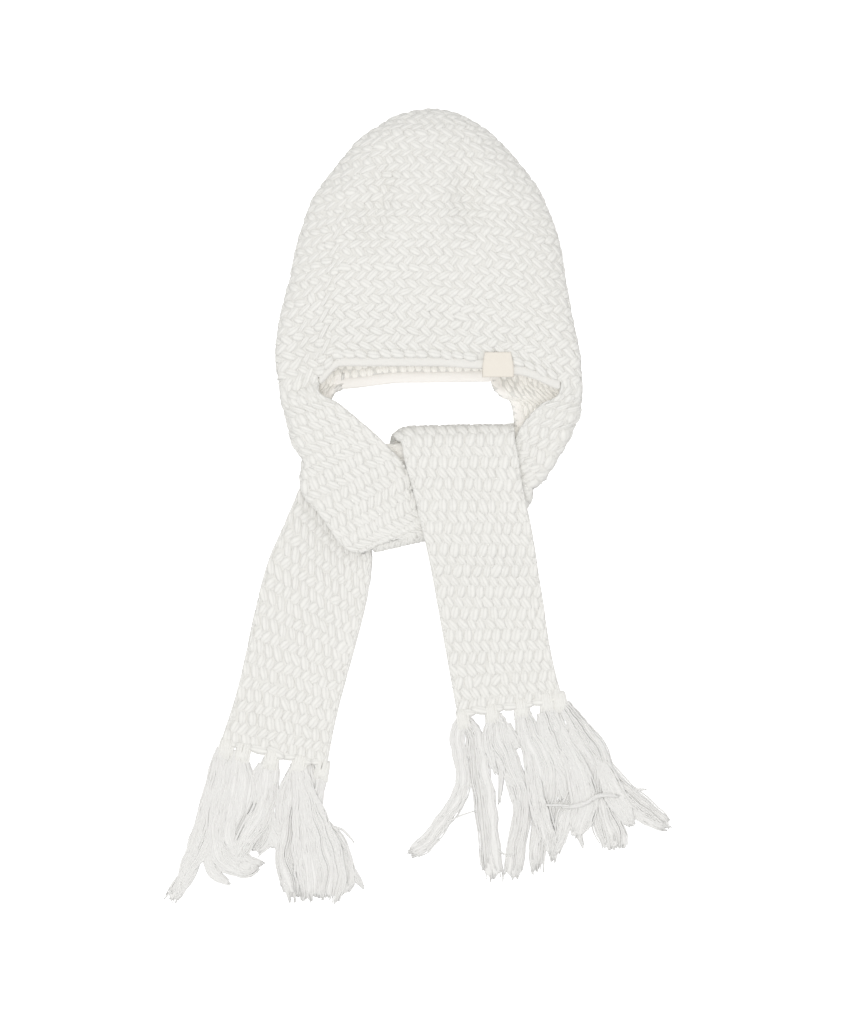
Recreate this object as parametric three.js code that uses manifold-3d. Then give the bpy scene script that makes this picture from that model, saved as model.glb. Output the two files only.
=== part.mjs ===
// A knitted hat whose sides run on into two scarf arms, lying on its back with the arms half-knotted.
// Millimetres, +Z up. X runs across the hat, Y from the tassels to the top of the crown.
// The origin is on the floor, under the middle of the hat's flat back.
import * as THREE from 'three';
import { LoftGeometry } from 'three/addons/geometries/LoftGeometry.js';
import { mergeVertices } from 'three/addons/utils/BufferGeometryUtils.js';
import Module from 'manifold-3d';

const { Vector3 } = THREE;
const wasm = await Module();
wasm.setup();

// Driving sizes.
const KNIT = 6;              // thickness of the knit
const GAP = 0.3;             // left between two pieces
const HEM_DROP = 9;          // height of the smooth hem
const HEM_THICK = 6.6;       // thickness of the rolled hem
const ARM_GAP = 1;           // left between the hat and an arm
const LABEL_THICK = 0.7;
const LABEL_RISE = 10;       // how far the tab reaches above the hem
const CROWN_AROUND = 40;     // facets round the hat
const FACET = 360 / CROWN_AROUND;
const ARM_ACROSS = 12;       // facets across an arm, as many as the rim has beside it
const ARM_ALONG = 2;         // facets per row of an arm's table
const SQUARENESS = 2.4;      // exponent of the hat's cross-section: 2 is an ellipse

// The hat's outline from the top of the head to the rim, as it lies.
const CROWN = [
  { y: 126, left: -10.8, right: 13.5, low: 15, high: 27 },
  { y: 121.5, left: -28.8, right: 27.9, low: 8, high: 36 },
  { y: 117, left: -37.8, right: 36.9, low: 4, high: 41 },
  { y: 108, left: -52.2, right: 51.3, low: 0.5, high: 47 },
  { y: 99, left: -64.8, right: 61.2, low: -1.5, high: 51 },
  { y: 81, left: -80.1, right: 77.4, low: -2, high: 56 },
  { y: 63, left: -93.6, right: 91.8, low: -2, high: 59 },
  { y: 45, left: -106.2, right: 102.6, low: -2, high: 61 },
  { y: 9, left: -118.8, right: 116.1, low: -2, high: 62 },
  { y: -27, left: -126.9, right: 122.4, low: -2, high: 60 },
  { y: -63, left: -135.9, right: 128.7, low: -2, high: 54 },
  { y: -90, left: -139.5, right: 132.3, low: -2, high: 46 },
  { y: -108, left: -138.6, right: 135, low: -2, high: 39 },
  { y: -125.1, left: -135.9, right: 135.9, low: -2, high: 34 },
];
const INNER_START = 2;       // row of CROWN where the hollow begins
const FLOOR = 0;

// Where the knit of the hat ends, by angle round the rim:
// 0 is the +X side, 90 the front (up), 180 the -X side, 270 the back (down).
const RIM = [
  { at: 0, y: -124.2 },
  { at: 33, y: -117.9 },
  { at: 61, y: -104.4 },
  { at: 75, y: -99 },
  { at: 90, y: -96.8 },
  { at: 122, y: -96.8 },
  { at: 135, y: -113.4 },
  { at: 150, y: -122.4 },
  { at: 180, y: -126 },
  { at: 215, y: -122.4 },
  { at: 239, y: -115.2 },
  { at: 265, y: -109.8 },
  { at: 289, y: -108.9 },
  { at: 315, y: -117 },
  { at: 340, y: -123.3 },
  { at: 360, y: -124.2 },
];
const FRONT_HEM = { from: 34, to: 134.5 };
const BACK_HEM = { from: 239.5, to: 288.5 };
const LEFT_SIDE = { from: 135, to: 239 };
const RIGHT_SIDE = { from: 33.3, to: -70.7 };
const LABEL = { from: 61.3, to: 74.2, steps: 3 };

// Soft hollows that the empty hat's upper face sinks into.
const DENTS = [
  { x: -49, y: 22, depth: 5, wide: 13, long: 34 },
  { x: 34, y: 38, depth: 5, wide: 13, long: 34 },
  { x: -112, y: -100, depth: 7, wide: 14, long: 26 },
];

// The arms, row by row. near is the edge that faces the neck hole and far is the outer edge or fold.
// z and farZ are the heights of the cloth's middle there. Where width is more than the distance from
// near to far, the rest is folded back under the arm with the radius in fold.
const LEFT_ARM = [
  { near: [-99.9, -128.7], far: [-136, -134.1], z: 27.5, farZ: 24, fold: 10.5, width: 95 },
  { near: [-85.5, -136.8], far: [-132.3, -147.6], z: 27.5, farZ: 25, fold: 11, width: 95 },
  { near: [-67.5, -151.2], far: [-126, -172.8], z: 25.5, farZ: 24, fold: 9.5, width: 94 },
  { near: [-47.7, -172.8], far: [-117.9, -210.6], z: 22, farZ: 22, fold: 6, width: 85 },
  { near: [-29.7, -202.5], far: [-94.5, -243], z: 18.5, farZ: 20.5, fold: 4, width: 80 },
  { near: [-13.5, -228.6], far: [-77.4, -266.4], z: 16.8, farZ: 19 },
  { near: [0, -241.2], far: [-63, -271.8], z: 16.6, farZ: 17.6 },
];
const UNDERPASS = [
  { near: [40.5, -207], far: [-45, -217.8], z: 3, farZ: 3 },
];
const LEFT_END = [
  { near: [79.2, -190.8], far: [-21.6, -190.8], z: 23.4, farZ: 23.4 },
  { near: [82.8, -216], far: [-15.3, -212.4], z: 23.4, farZ: 23.4 },
  { near: [88.2, -239.4], far: [-9, -239.4], z: 23.4, farZ: 23.4 },
  { near: [93.6, -268.2], far: [-2.7, -266.4], z: 19, farZ: 22.4 },
  { near: [97.2, -292.5], far: [2.7, -292.5], z: 10, farZ: 14 },
  { near: [101.7, -319.5], far: [7.2, -317.7], z: 5, farZ: 6 },
  { near: [106.2, -351], far: [13.5, -352.8], z: 3.6, farZ: 3.8 },
  { near: [112.5, -381.6], far: [19.8, -387.9], z: 3.6, farZ: 3.6 },
  { near: [118.8, -404.1], far: [25.2, -417.6], z: 5, farZ: 5 },
];
const RIGHT_ARM = [
  { near: [115.2, -131.4], far: [136.3, -132.3], z: 24.5, farZ: 22.5, fold: 9.7, width: 108 },
  { near: [99.9, -139.5], far: [133.7, -146.7], z: 25, farZ: 24, fold: 10.3, width: 110 },
  { near: [81.9, -160.2], far: [127.8, -163.8], z: 21, farZ: 21, fold: 7.5, width: 104 },
  { near: [77.6, -170.2], far: [117, -189], z: 17, farZ: 17, fold: 3.7, width: 91 },
  { near: [73.8, -171.9], far: [103.5, -209.7], z: 16.7, farZ: 16.7, fold: 3.5, width: 94.5 },
  { near: [61.2, -171.9], far: [87.3, -229.5], z: 16.6, farZ: 16.6, fold: 3.4, width: 94.5 },
  { near: [42.3, -171.9], far: [60.3, -245.7], z: 16.6, farZ: 16.6, fold: 3.4, width: 94.5 },
  { near: [22.5, -171.9], far: [35.1, -252], z: 12.5, farZ: 12.5, fold: 3.4, width: 86 },
  { near: [-1.8, -173.7], far: [5.4, -248.2], z: 9.8, farZ: 9.8 },
  { near: [-27, -174.6], far: [-19.8, -253.8], z: 9.8, farZ: 9.8 },
  { near: [-46.8, -176.4], far: [-37.8, -257.4], z: 9.8, farZ: 9.8 },
  { near: [-70.2, -184.5], far: [-52.6, -265.5], z: 9.3, farZ: 9.8 },
  { near: [-96.3, -197.1], far: [-52.6, -275.4], z: 8.3, farZ: 9.3 },
  { near: [-117.9, -210.6], far: [-53.1, -285.3], z: 7, farZ: 8 },
  { near: [-126.9, -230.4], far: [-54.9, -300.6], z: 5.2, farZ: 5.6 },
  { near: [-135.9, -253.8], far: [-58.1, -317.7], z: 3.6, farZ: 3.8 },
  { near: [-144, -277.2], far: [-62.1, -334.8], z: 3.3, farZ: 3.3 },
  { near: [-154.8, -315], far: [-68.4, -358.2], z: 3.3, farZ: 3.3 },
  { near: [-172.8, -396], far: [-84.6, -418.5], z: 3.3, farZ: 3.3 },
  { near: [-187.7, -442.8], far: [-93.6, -463.5], z: 5, farZ: 5 },
];

// The two turns of the left arm: the crease's ends at its outermost, and the heights it joins.
const LOWER_TURN = {
  enter: { near: [11.7, -248.4], far: [-50.4, -263.7] },
  crest: { near: [12.6, -255.3], far: [-50.4, -269.6] },
  leave: { near: [11.7, -248.4], far: [-50.4, -263.7] },
  from: 16.6,
  to: 3,
};
const UPPER_TURN = {
  enter: { near: [74.6, -171], far: [-35.1, -173.2] },
  crest: { near: [74.6, -160.7], far: [-32.4, -162.9] },
  leave: { near: [75.4, -171], far: [-25.2, -172.8] },
  from: 3,
  to: 23.4,
};
const TURN_STEPS = 4;

// Each tassel is a knotted head at the arm's end row, and locks of yarn that lie on the floor below it.
// A lock's path has a row for each place: x, y, z of its middle, and its width there.
const HEADS = {
  tassel_left_1: [-184, -449],
  tassel_left_2: [-169, -453],
  tassel_left_3: [-143, -459],
  tassel_left_4: [-118, -464],
  tassel_left_5: [-97, -469],
  tassel_right_1: [29, -423],
  tassel_right_2: [56, -418],
  tassel_right_3: [83, -413],
  tassel_right_4: [106, -408],
  tassel_right_5: [118, -407],
};
const LOCKS = [
  {
    tassel: 'tassel_left_1',
    thick: 6,
    path: [
      [-187, -448, 5, 9], [-190, -463, 3, 14], [-196, -490, 3, 17], [-202, -509, 3, 14],
      [-208, -529, 3, 14], [-211, -543, 3, 14], [-218, -562, 3, 12], [-227, -575, 2.6, 13],
      [-235, -588, 2.2, 11],
    ],
  },
  {
    tassel: 'tassel_left_2',
    thick: 6,
    path: [
      [-173, -450, 5, 9], [-171, -463, 3, 18], [-171, -477, 3, 26], [-173, -495, 3, 28],
      [-177, -513, 3, 24], [-182, -529, 3, 23], [-179, -545, 3, 23], [-168, -555, 3, 22],
      [-153, -553, 2.2, 9],
    ],
  },
  {
    tassel: 'tassel_left_3',
    thick: 5.4,
    path: [
      [-143, -455, 5, 9], [-144, -466, 3, 18], [-146, -482, 3, 22], [-147, -495, 3, 19],
      [-151, -508, 5.4, 20], [-160, -523, 9, 19], [-168, -536, 9, 14],
    ],
  },
  {
    tassel: 'tassel_left_4',
    thick: 6,
    path: [
      [-120, -461, 5, 9], [-120, -471, 3, 18], [-120, -482, 3, 22], [-121, -495, 3, 23],
      [-124, -513, 3, 22], [-127, -531, 3, 22], [-128, -547, 3, 24], [-122, -565, 3, 30],
      [-118, -586, 2.2, 23],
    ],
  },
  {
    tassel: 'tassel_left_5',
    thick: 6,
    path: [
      [-97, -467, 5, 9], [-99, -476, 3, 13], [-101, -490, 3, 11], [-102, -506, 3, 11],
      [-98, -522, 3, 25], [-93, -536, 3, 36], [-88, -551, 3, 39], [-86, -567, 3, 38],
      [-90, -582, 2.2, 22],
    ],
  },
  {
    tassel: 'tassel_left_5',
    thick: 3,
    path: [
      [-101, -509, 3, 4], [-90, -518, 2, 4], [-79, -522, 2, 4], [-72, -529, 2, 4],
      [-68, -535, 2, 3],
    ],
  },
  {
    tassel: 'tassel_left_5',
    thick: 4,
    path: [
      [-78, -547, 3, 8], [-68, -563, 2.2, 7], [-60, -575, 2, 4],
    ],
  },
  {
    tassel: 'tassel_right_1',
    thick: 6,
    path: [
      [31, -420, 5, 11], [25, -435, 3, 15], [26, -452, 3, 14], [30, -470, 3, 13],
      [28, -486, 3, 14], [22, -500, 3, 14], [12, -513, 3, 14], [4, -525, 3, 14],
      [-7, -536, 3, 16], [-22, -545, 2.2, 9],
    ],
  },
  {
    tassel: 'tassel_right_1',
    thick: 6,
    path: [
      [32, -423, 4, 11], [40, -436, 3, 14], [43, -452, 3, 15], [45, -470, 3, 18],
      [49, -488, 3, 18], [51, -506, 3, 19], [53, -526, 3, 17], [55, -549, 3, 18],
      [58, -570, 2.2, 16],
    ],
  },
  {
    tassel: 'tassel_right_2',
    thick: 6,
    path: [
      [58, -419, 5, 13], [61, -429, 3, 21], [64, -443, 3, 24], [70, -457, 3, 20],
      [76, -472, 3, 18], [82, -490, 3, 18], [84, -506, 3, 16], [81, -524, 3, 16],
      [78, -540, 3, 16], [76, -556, 3, 16], [74, -568, 2.2, 12],
    ],
  },
  {
    tassel: 'tassel_right_2',
    thick: 4,
    path: [
      [57, -436, 3, 9], [60, -454, 2.6, 7], [64, -468, 2.4, 6], [64, -482, 2.2, 5],
      [62, -500, 2, 4],
    ],
  },
  {
    tassel: 'tassel_right_3',
    thick: 6,
    path: [
      [83, -415, 5, 13], [86, -425, 3, 18], [90, -439, 3, 22], [98, -454, 3, 25],
      [103, -470, 3, 26], [105, -488, 3, 22], [103, -506, 3, 16], [99, -524, 3, 16],
      [97, -542, 3, 14], [97, -562, 2.2, 11],
    ],
  },
  {
    tassel: 'tassel_right_4',
    thick: 6,
    path: [
      [106, -410, 5, 13], [112, -425, 3, 16], [118, -439, 3, 18], [126, -454, 3, 19],
      [130, -470, 3, 21], [132, -488, 3, 22], [122, -506, 3, 19], [117, -524, 3, 16],
      [112, -540, 3, 11], [110, -553, 2.2, 7],
    ],
  },
  {
    tassel: 'tassel_right_4',
    thick: 4,
    path: [
      [122, -500, 3, 9], [131, -517, 2.4, 8], [138, -538, 2, 4],
    ],
  },
  {
    tassel: 'tassel_right_4',
    thick: 4,
    path: [
      [119, -501, 6, 5], [129, -501, 8, 5], [140, -498, 9.6, 5], [153, -491, 9.6, 5],
      [173, -492, 9.4, 4],
    ],
  },
  {
    tassel: 'tassel_right_5',
    thick: 6,
    path: [
      [120, -409, 5, 11], [131, -425, 3, 16], [140, -439, 3, 22], [150, -454, 3, 23],
      [156, -470, 3, 23], [170, -486, 3, 23], [183, -497, 3, 22], [195, -506, 3, 20],
      [208, -515, 3, 15], [217, -521, 2.2, 7],
    ],
  },
  {
    tassel: 'tassel_right_5',
    thick: 6,
    path: [
      [154, -464, 3, 18], [153, -482, 3, 15], [156, -500, 3, 21], [160, -515, 3, 26],
      [165, -529, 3, 27], [167, -540, 2.2, 13],
    ],
  },
  {
    tassel: 'tassel_right_5',
    thick: 3,
    path: [
      [169, -482, 3, 5], [182, -486, 2, 3], [196, -486, 2, 3],
    ],
  },
];
const HEAD = { across: 11, along: 13, tall: 10, facets: 8 };
const LOCK_SIDES = 6;
const LOCK_ROWS = 9;
// The middle of each arm's end row: where it is, which way it runs, and its height.
const END_ROWS = {
  left: { near: [-187.7, -442.8], far: [-93.6, -463.5], z: 5 },
  right: { near: [118.8, -404.1], far: [25.2, -417.6], z: 5 },
};

// Surfaces: every grid below is a list of rows, each a list of points.
const lerp = THREE.MathUtils.lerp;

// Rows of a table, blended at a place between two of them.
function blendRow(table, place) {
  const low = THREE.MathUtils.clamp(Math.floor(place), 0, table.length - 2);
  const part = place - low;
  const row = {};
  for (const key of Object.keys(table[0])) {
    row[key] = lerp(table[low][key], table[low + 1][key], part);
  }
  return row;
}

function rimHeight(degrees) {
  const at = ((degrees % 360) + 360) % 360;
  const next = Math.max(1, RIM.findIndex((row) => row.at >= at));
  const part = (at - RIM[next - 1].at) / (RIM[next].at - RIM[next - 1].at);
  return lerp(RIM[next - 1].y, RIM[next].y, THREE.MathUtils.smoothstep(part, 0, 1));
}

function dentDepth(x, y) {
  let depth = 0;
  for (const dent of DENTS) {
    const across = (x - dent.x) / dent.wide;
    const along = (y - dent.y) / dent.long;
    depth += dent.depth * Math.exp(-(across * across + along * along));
  }
  return depth;
}

// A point of the hat's outer face: place counts rows of CROWN from the top of the head.
function crownPoint(place, degrees) {
  const row = blendRow(CROWN, place);
  const turn = THREE.MathUtils.degToRad(degrees);
  const power = 2 / SQUARENESS;
  const across = Math.sign(Math.cos(turn)) * Math.abs(Math.cos(turn)) ** power;
  const up = Math.sign(Math.sin(turn)) * Math.abs(Math.sin(turn)) ** power;
  const x = (row.left + row.right) / 2 + across * (row.right - row.left) / 2;
  const top = CROWN[0].y;
  const side = CROWN[CROWN.length - 1].y;
  const y = top + (row.y - top) * (rimHeight(degrees) - top) / (side - top);
  let z = (row.low + row.high) / 2 + up * (row.high - row.low) / 2;
  if (up > 0) {
    z -= dentDepth(x, y) * up;
  }
  return new Vector3(x, y, Math.max(FLOOR, z));
}

// Unit normals of a grid of points: rows run along the piece, columns across it.
function gridNormals(grid, closed) {
  const rows = grid.length;
  const columns = grid[0].length;
  return grid.map((line, i) => line.map((point, j) => {
    const before = closed ? (j + columns - 1) % columns : Math.max(0, j - 1);
    const after = closed ? (j + 1) % columns : Math.min(columns - 1, j + 1);
    const across = line[after].clone().sub(line[before]);
    const along = grid[Math.min(rows - 1, i + 1)][j].clone().sub(grid[Math.max(0, i - 1)][j]);
    return across.cross(along).normalize();
  }));
}

function offsetGrid(grid, normals, distance) {
  return grid.map((line, i) => line.map((point, j) => {
    const moved = point.clone().addScaledVector(normals[i][j], distance);
    moved.z = Math.max(FLOOR, moved.z);
    return moved;
  }));
}

// A sheet of the given thickness laid both ways from a grid of middle points. The first rows take
// the directions in start, where they carry on from another piece.
function sheet(grid, thickness, start = []) {
  const normals = gridNormals(grid, false);
  for (let i = 0; i < ARM_ALONG && start.length; i += 1) {
    normals[i] = start;
  }
  const upper = offsetGrid(grid, normals, thickness / 2);
  const lower = offsetGrid(grid, normals, -thickness / 2);
  const rings = upper.map((line, i) => [...line, ...lower[i].slice().reverse()]);
  const ends = [grid[0], grid[grid.length - 1]].map((line) => [...line, ...line.slice().reverse()]);
  return new LoftGeometry([ends[0], ...rings, ends[1]]);
}

// Points at even spacing along a polyline.
function evenPoints(line, count) {
  const lengths = [0];
  for (let i = 1; i < line.length; i += 1) {
    lengths.push(lengths[i - 1] + line[i].distanceTo(line[i - 1]));
  }
  const total = lengths[lengths.length - 1];
  const points = [];
  for (let k = 0; k < count; k += 1) {
    const goal = total * k / (count - 1);
    let i = 1;
    while (i < line.length - 1 && lengths[i] < goal) {
      i += 1;
    }
    const part = (goal - lengths[i - 1]) / (lengths[i] - lengths[i - 1]);
    points.push(line[i - 1].clone().lerp(line[i], part));
  }
  return points;
}

// One section of an arm's middle surface: out from near to far, then round the fold and back under.
function armSection(row) {
  const near = new Vector3(row.near[0], row.near[1], row.z);
  const far = new Vector3(row.far[0], row.far[1], row.farZ);
  const reach = near.distanceTo(far);
  const line = [near];
  if (!row.width || row.width <= reach) {
    line.push(far);
    return evenPoints(line, ARM_ACROSS + 1);
  }
  const out = far.clone().sub(near).normalize();
  const centre = far.clone().addScaledVector(out, -row.fold);
  const tail = row.width - (reach - row.fold);
  const bend = Math.min(Math.PI, tail / row.fold);
  const steps = 8;
  line.push(centre.clone());
  for (let i = 1; i <= steps; i += 1) {
    const turn = bend * i / steps;
    const point = centre.clone().addScaledVector(out, row.fold * Math.sin(turn));
    point.z -= row.fold * (1 - Math.cos(turn));
    line.push(point);
  }
  const back = tail - bend * row.fold;
  if (back > 0) {
    line.push(line[line.length - 1].clone().addScaledVector(out, -back));
  }
  return evenPoints(line, ARM_ACROSS + 1);
}

// The start of an arm: the side of the hat's rim, seen as the middle of its wall.
function rimSection(side, drop) {
  return rimStops(side).map((degrees) => {
    const point = wallMiddle(degrees);
    point.y -= drop;
    return point;
  });
}

// The rim's outward direction, square to the hat's length.
function rimNormal(degrees) {
  const last = CROWN.length - 1;
  const ahead = crownPoint(last, degrees + FACET).sub(crownPoint(last, degrees - FACET));
  return new Vector3(ahead.z, 0, -ahead.x).normalize();
}

// The middle of the rim's wall, on the straight facets between the hat's corners.
function wallMiddle(degrees) {
  const step = Math.floor(degrees / FACET);
  const corners = [step, step + 1].map((count) => {
    const corner = crownPoint(CROWN.length - 1, count * FACET);
    return corner.addScaledVector(rimNormal(count * FACET), -KNIT / 2);
  });
  return corners[0].lerp(corners[1], degrees / FACET - step);
}

// The two ends of a stretch of rim, and the hat's corners between them.
function rimStops({ from, to }) {
  const stops = [];
  for (let step = -CROWN_AROUND; step <= CROWN_AROUND; step += 1) {
    const degrees = step * FACET;
    if (degrees > Math.min(from, to) && degrees < Math.max(from, to)) {
      stops.push(degrees);
    }
  }
  if (to < from) {
    stops.reverse();
  }
  return [from, ...stops, to];
}

// Rows that carry an arm round a crease, from one height to another.
function turnSections(turn) {
  const sections = [];
  for (let i = 0; i <= TURN_STEPS; i += 1) {
    const angle = Math.PI * i / TURN_STEPS;
    const swing = Math.sin(angle);
    const base = i * 2 <= TURN_STEPS ? turn.enter : turn.leave;
    const z = lerp(turn.from, turn.to, (1 - Math.cos(angle)) / 2);
    const ends = ['near', 'far'].map((end) => new Vector3(
      lerp(base[end][0], turn.crest[end][0], swing),
      lerp(base[end][1], turn.crest[end][1], swing),
      z,
    ));
    sections.push(evenPoints(ends, ARM_ACROSS + 1));
  }
  return sections;
}

// Extra rows between the given ones, along a smooth curve through each column.
function refine(sections, parts) {
  const curves = sections[0].map((_, j) => {
    return new THREE.CatmullRomCurve3(sections.map((section) => section[j]), false, 'centripetal');
  });
  const count = (sections.length - 1) * parts;
  const rows = [];
  for (let i = 0; i <= count; i += 1) {
    rows.push(curves.map((curve) => curve.getPoint(i / count)));
  }
  return rows;
}

// Assembly: one named mesh for each piece.
const beanie = new THREE.Group();
beanie.name = 'scarf_beanie';
const yarn = new THREE.MeshStandardMaterial({ color: 0xf1efe9, roughness: 0.95 });
const cloth = new THREE.MeshStandardMaterial({ color: 0xf3dfc6, roughness: 0.85 });
yarn.name = 'yarn';
cloth.name = 'label_cloth';

function addPiece(name, geometry, material) {
  const mesh = new THREE.Mesh(geometry, material);
  mesh.name = name;
  beanie.add(mesh);
}

// A ring drawn together to one point, its own middle.
function pole(ring) {
  const middle = new Vector3();
  ring.forEach((point) => middle.addScaledVector(point, 1 / ring.length));
  return ring.map(() => middle.clone());
}

// The hat: an outer skin from the top of the head to the rim, and back up as the inner skin.
function crownGeometry() {
  const outer = [];
  const last = CROWN.length - 1;
  for (let i = 0; i <= last; i += 1) {
    const ring = [];
    for (let j = 0; j < CROWN_AROUND; j += 1) {
      ring.push(crownPoint(i, FACET * j));
    }
    outer.push(ring);
  }
  const normals = gridNormals(outer, true);
  normals.forEach((line, i) => line.forEach((normal) => {
    normal.y *= 1 - i / last;
    normal.normalize();
  }));
  normals[last] = outer[last].map((_, j) => rimNormal(FACET * j));
  const inner = offsetGrid(outer, normals, -KNIT).slice(INNER_START).reverse();
  const lip = offsetGrid([outer[last]], [normals[last]], -KNIT / 2);
  const skins = [pole(outer[0]), ...outer, ...lip, ...inner, pole(inner[inner.length - 1])];
  return new LoftGeometry(skins);
}
addPiece('crown', crownGeometry(), yarn);

// A rolled hem: a rounded bar that follows the rim.
function hemGeometry(hem) {
  const sections = [];
  const half = { drop: HEM_DROP / 2, thick: HEM_THICK / 2 };
  const corner = 1.6;
  const outline = [
    [corner - half.drop, half.thick],
    [-half.drop, half.thick - corner],
    [-half.drop, corner - half.thick],
    [corner - half.drop, -half.thick],
    [half.drop - corner, -half.thick],
    [half.drop, corner - half.thick],
    [half.drop, half.thick - corner],
    [half.drop - corner, half.thick],
  ];
  for (const degrees of rimStops(hem)) {
    const normal = rimNormal(degrees);
    const middle = wallMiddle(degrees);
    middle.y -= GAP + half.drop;
    middle.z = Math.max(middle.z, half.thick);
    sections.push(outline.map(([drop, out]) => {
      const point = middle.clone().addScaledVector(normal, out);
      point.y -= drop;
      return point;
    }));
  }
  return new LoftGeometry(sections, { capStart: true, capEnd: true });
}
addPiece('front_rim_band', hemGeometry(FRONT_HEM), yarn);
addPiece('back_rim_band', hemGeometry(BACK_HEM), yarn);

// The tab: a strip that runs down the front, round the hem's edge and up inside.
function labelGeometry() {
  const out = HEM_THICK / 2 + GAP + LABEL_THICK / 2;
  const lip = GAP + HEM_DROP + GAP + LABEL_THICK / 2;
  const path = [
    { drop: -LABEL_RISE, out },
    { drop: -LABEL_RISE / 2, out },
    { drop: 0, out },
    { drop: lip - 1.2, out },
    { drop: lip, out: out - 1.2 },
    { drop: lip, out: 1.2 - out },
    { drop: lip - 1.2, out: -out },
    { drop: 0, out: -out },
  ];
  const last = CROWN.length - 1;
  const grid = path.map((step) => {
    const line = [];
    for (let i = 0; i <= LABEL.steps; i += 1) {
      const degrees = lerp(LABEL.from, LABEL.to, i / LABEL.steps);
      const rim = crownPoint(last, degrees);
      const above = crownPoint(last - 1, degrees);
      const climb = Math.max(0, -step.drop) * (above.z - rim.z) / (above.y - rim.y);
      const point = wallMiddle(degrees).addScaledVector(rimNormal(degrees), step.out);
      point.y -= step.drop;
      point.z += climb;
      line.push(point);
    }
    return line;
  });
  return sheet(grid, LABEL_THICK);
}
addPiece('label', labelGeometry(), cloth);

// The left arm goes over, under and out through the neck hole; the right arm goes between.
const leftSections = [
  ...[ARM_GAP, 2, 6].map((drop) => rimSection(LEFT_SIDE, drop)),
  ...LEFT_ARM.map(armSection),
  ...turnSections(LOWER_TURN),
  ...UNDERPASS.map(armSection),
  ...turnSections(UPPER_TURN),
  ...LEFT_END.map(armSection),
];
const leftStart = rimStops(LEFT_SIDE).map(rimNormal);
addPiece('scarf_arm_left', sheet(refine(leftSections, ARM_ALONG), KNIT, leftStart), yarn);

const rightSections = [
  ...[ARM_GAP, 2, 6].map((drop) => rimSection(RIGHT_SIDE, drop)),
  ...RIGHT_ARM.map(armSection),
];
const rightStart = rimStops(RIGHT_SIDE).map((degrees) => rimNormal(degrees).negate());
addPiece('scarf_arm_right', sheet(refine(rightSections, ARM_ALONG), KNIT, rightStart), yarn);

// Tassels: locks of yarn fused to a knotted head.
function toSolid(geometry) {
  const bare = new THREE.BufferGeometry();
  bare.setAttribute('position', geometry.getAttribute('position'));
  bare.setIndex(geometry.getIndex());
  const welded = mergeVertices(bare, 1e-3);
  const mesh = new wasm.Mesh({
    numProp: 3,
    vertProperties: new Float32Array(welded.getAttribute('position').array),
    triVerts: new Uint32Array(welded.getIndex().array),
  });
  return new wasm.Manifold(mesh);
}

function toGeometry(solid) {
  const mesh = solid.getMesh();
  const geometry = new THREE.BufferGeometry();
  geometry.setAttribute('position', new THREE.BufferAttribute(mesh.vertProperties, 3));
  geometry.setIndex(new THREE.BufferAttribute(mesh.triVerts, 1));
  geometry.computeVertexNormals();
  return geometry;
}

// A lock of yarn: a flattened oval swept along its path, as wide as each row says.
function lockSolid(lock) {
  const places = lock.path.map(([x, y, z]) => new Vector3(x, y, z));
  const curve = new THREE.CatmullRomCurve3(places, false, 'centripetal');
  const last = places.length - 1;
  const rings = [];
  for (let i = 0; i < LOCK_ROWS; i += 1) {
    const place = i / (LOCK_ROWS - 1);
    const middle = curve.getPoint(place);
    const along = curve.getTangent(place);
    const across = new Vector3(-along.y, along.x, 0).normalize();
    const low = Math.min(last - 1, Math.floor(place * last));
    const half = lerp(lock.path[low][3], lock.path[low + 1][3], place * last - low) / 2;
    const ring = [];
    for (let j = 0; j < LOCK_SIDES; j += 1) {
      const turn = 2 * Math.PI * j / LOCK_SIDES;
      const point = middle.clone().addScaledVector(across, half * Math.cos(turn));
      point.z = Math.max(FLOOR, point.z + lock.thick / 2 * Math.sin(turn));
      ring.push(point);
    }
    rings.push(ring);
  }
  return toSolid(new LoftGeometry(rings, { capStart: true, capEnd: true }));
}

// The knot: a bead with a slot for the end of the arm, so that it grips the end row from both sides.
function headSolid(name) {
  const end = END_ROWS[name.split('_')[1]];
  const [x, y] = HEADS[name];
  const heading = Math.atan2(end.near[1] - end.far[1], end.near[0] - end.far[0]);
  const bead = new THREE.SphereGeometry(0.5, HEAD.facets, HEAD.facets - 2);
  bead.scale(HEAD.across, HEAD.along, HEAD.tall);
  bead.rotateZ(heading);
  bead.translate(x, y, HEAD.tall / 2);
  const slotDepth = 40;
  const slot = new THREE.BoxGeometry(200, slotDepth, KNIT + 2 * GAP);
  slot.translate(0, slotDepth / 2 - GAP, 0);
  slot.rotateZ(Math.cos(heading) < 0 ? heading + Math.PI : heading);
  slot.translate((end.near[0] + end.far[0]) / 2, (end.near[1] + end.far[1]) / 2, end.z);
  return toSolid(bead).subtract(toSolid(slot));
}

for (const name of Object.keys(HEADS)) {
  const locks = LOCKS.filter((lock) => lock.tassel === name).map(lockSolid);
  const solid = wasm.Manifold.union([headSolid(name), ...locks]);
  addPiece(name, toGeometry(solid), yarn);
}

export default beanie;
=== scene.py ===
# %% [markdown]
# # A knitted hat with scarf arms
# The object is a white chunky-knit hat that lies on its back. Its sides run on into two long arms,
# which are crossed in a half knot and end in tassels. The frame holds plain solids of the right size.
# These cells lay the knit on them stitch by stitch, because at this yarn's size every stitch is seen.

import math

import bmesh
import bpy
import numpy as np
from mathutils import Matrix, Vector


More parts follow.
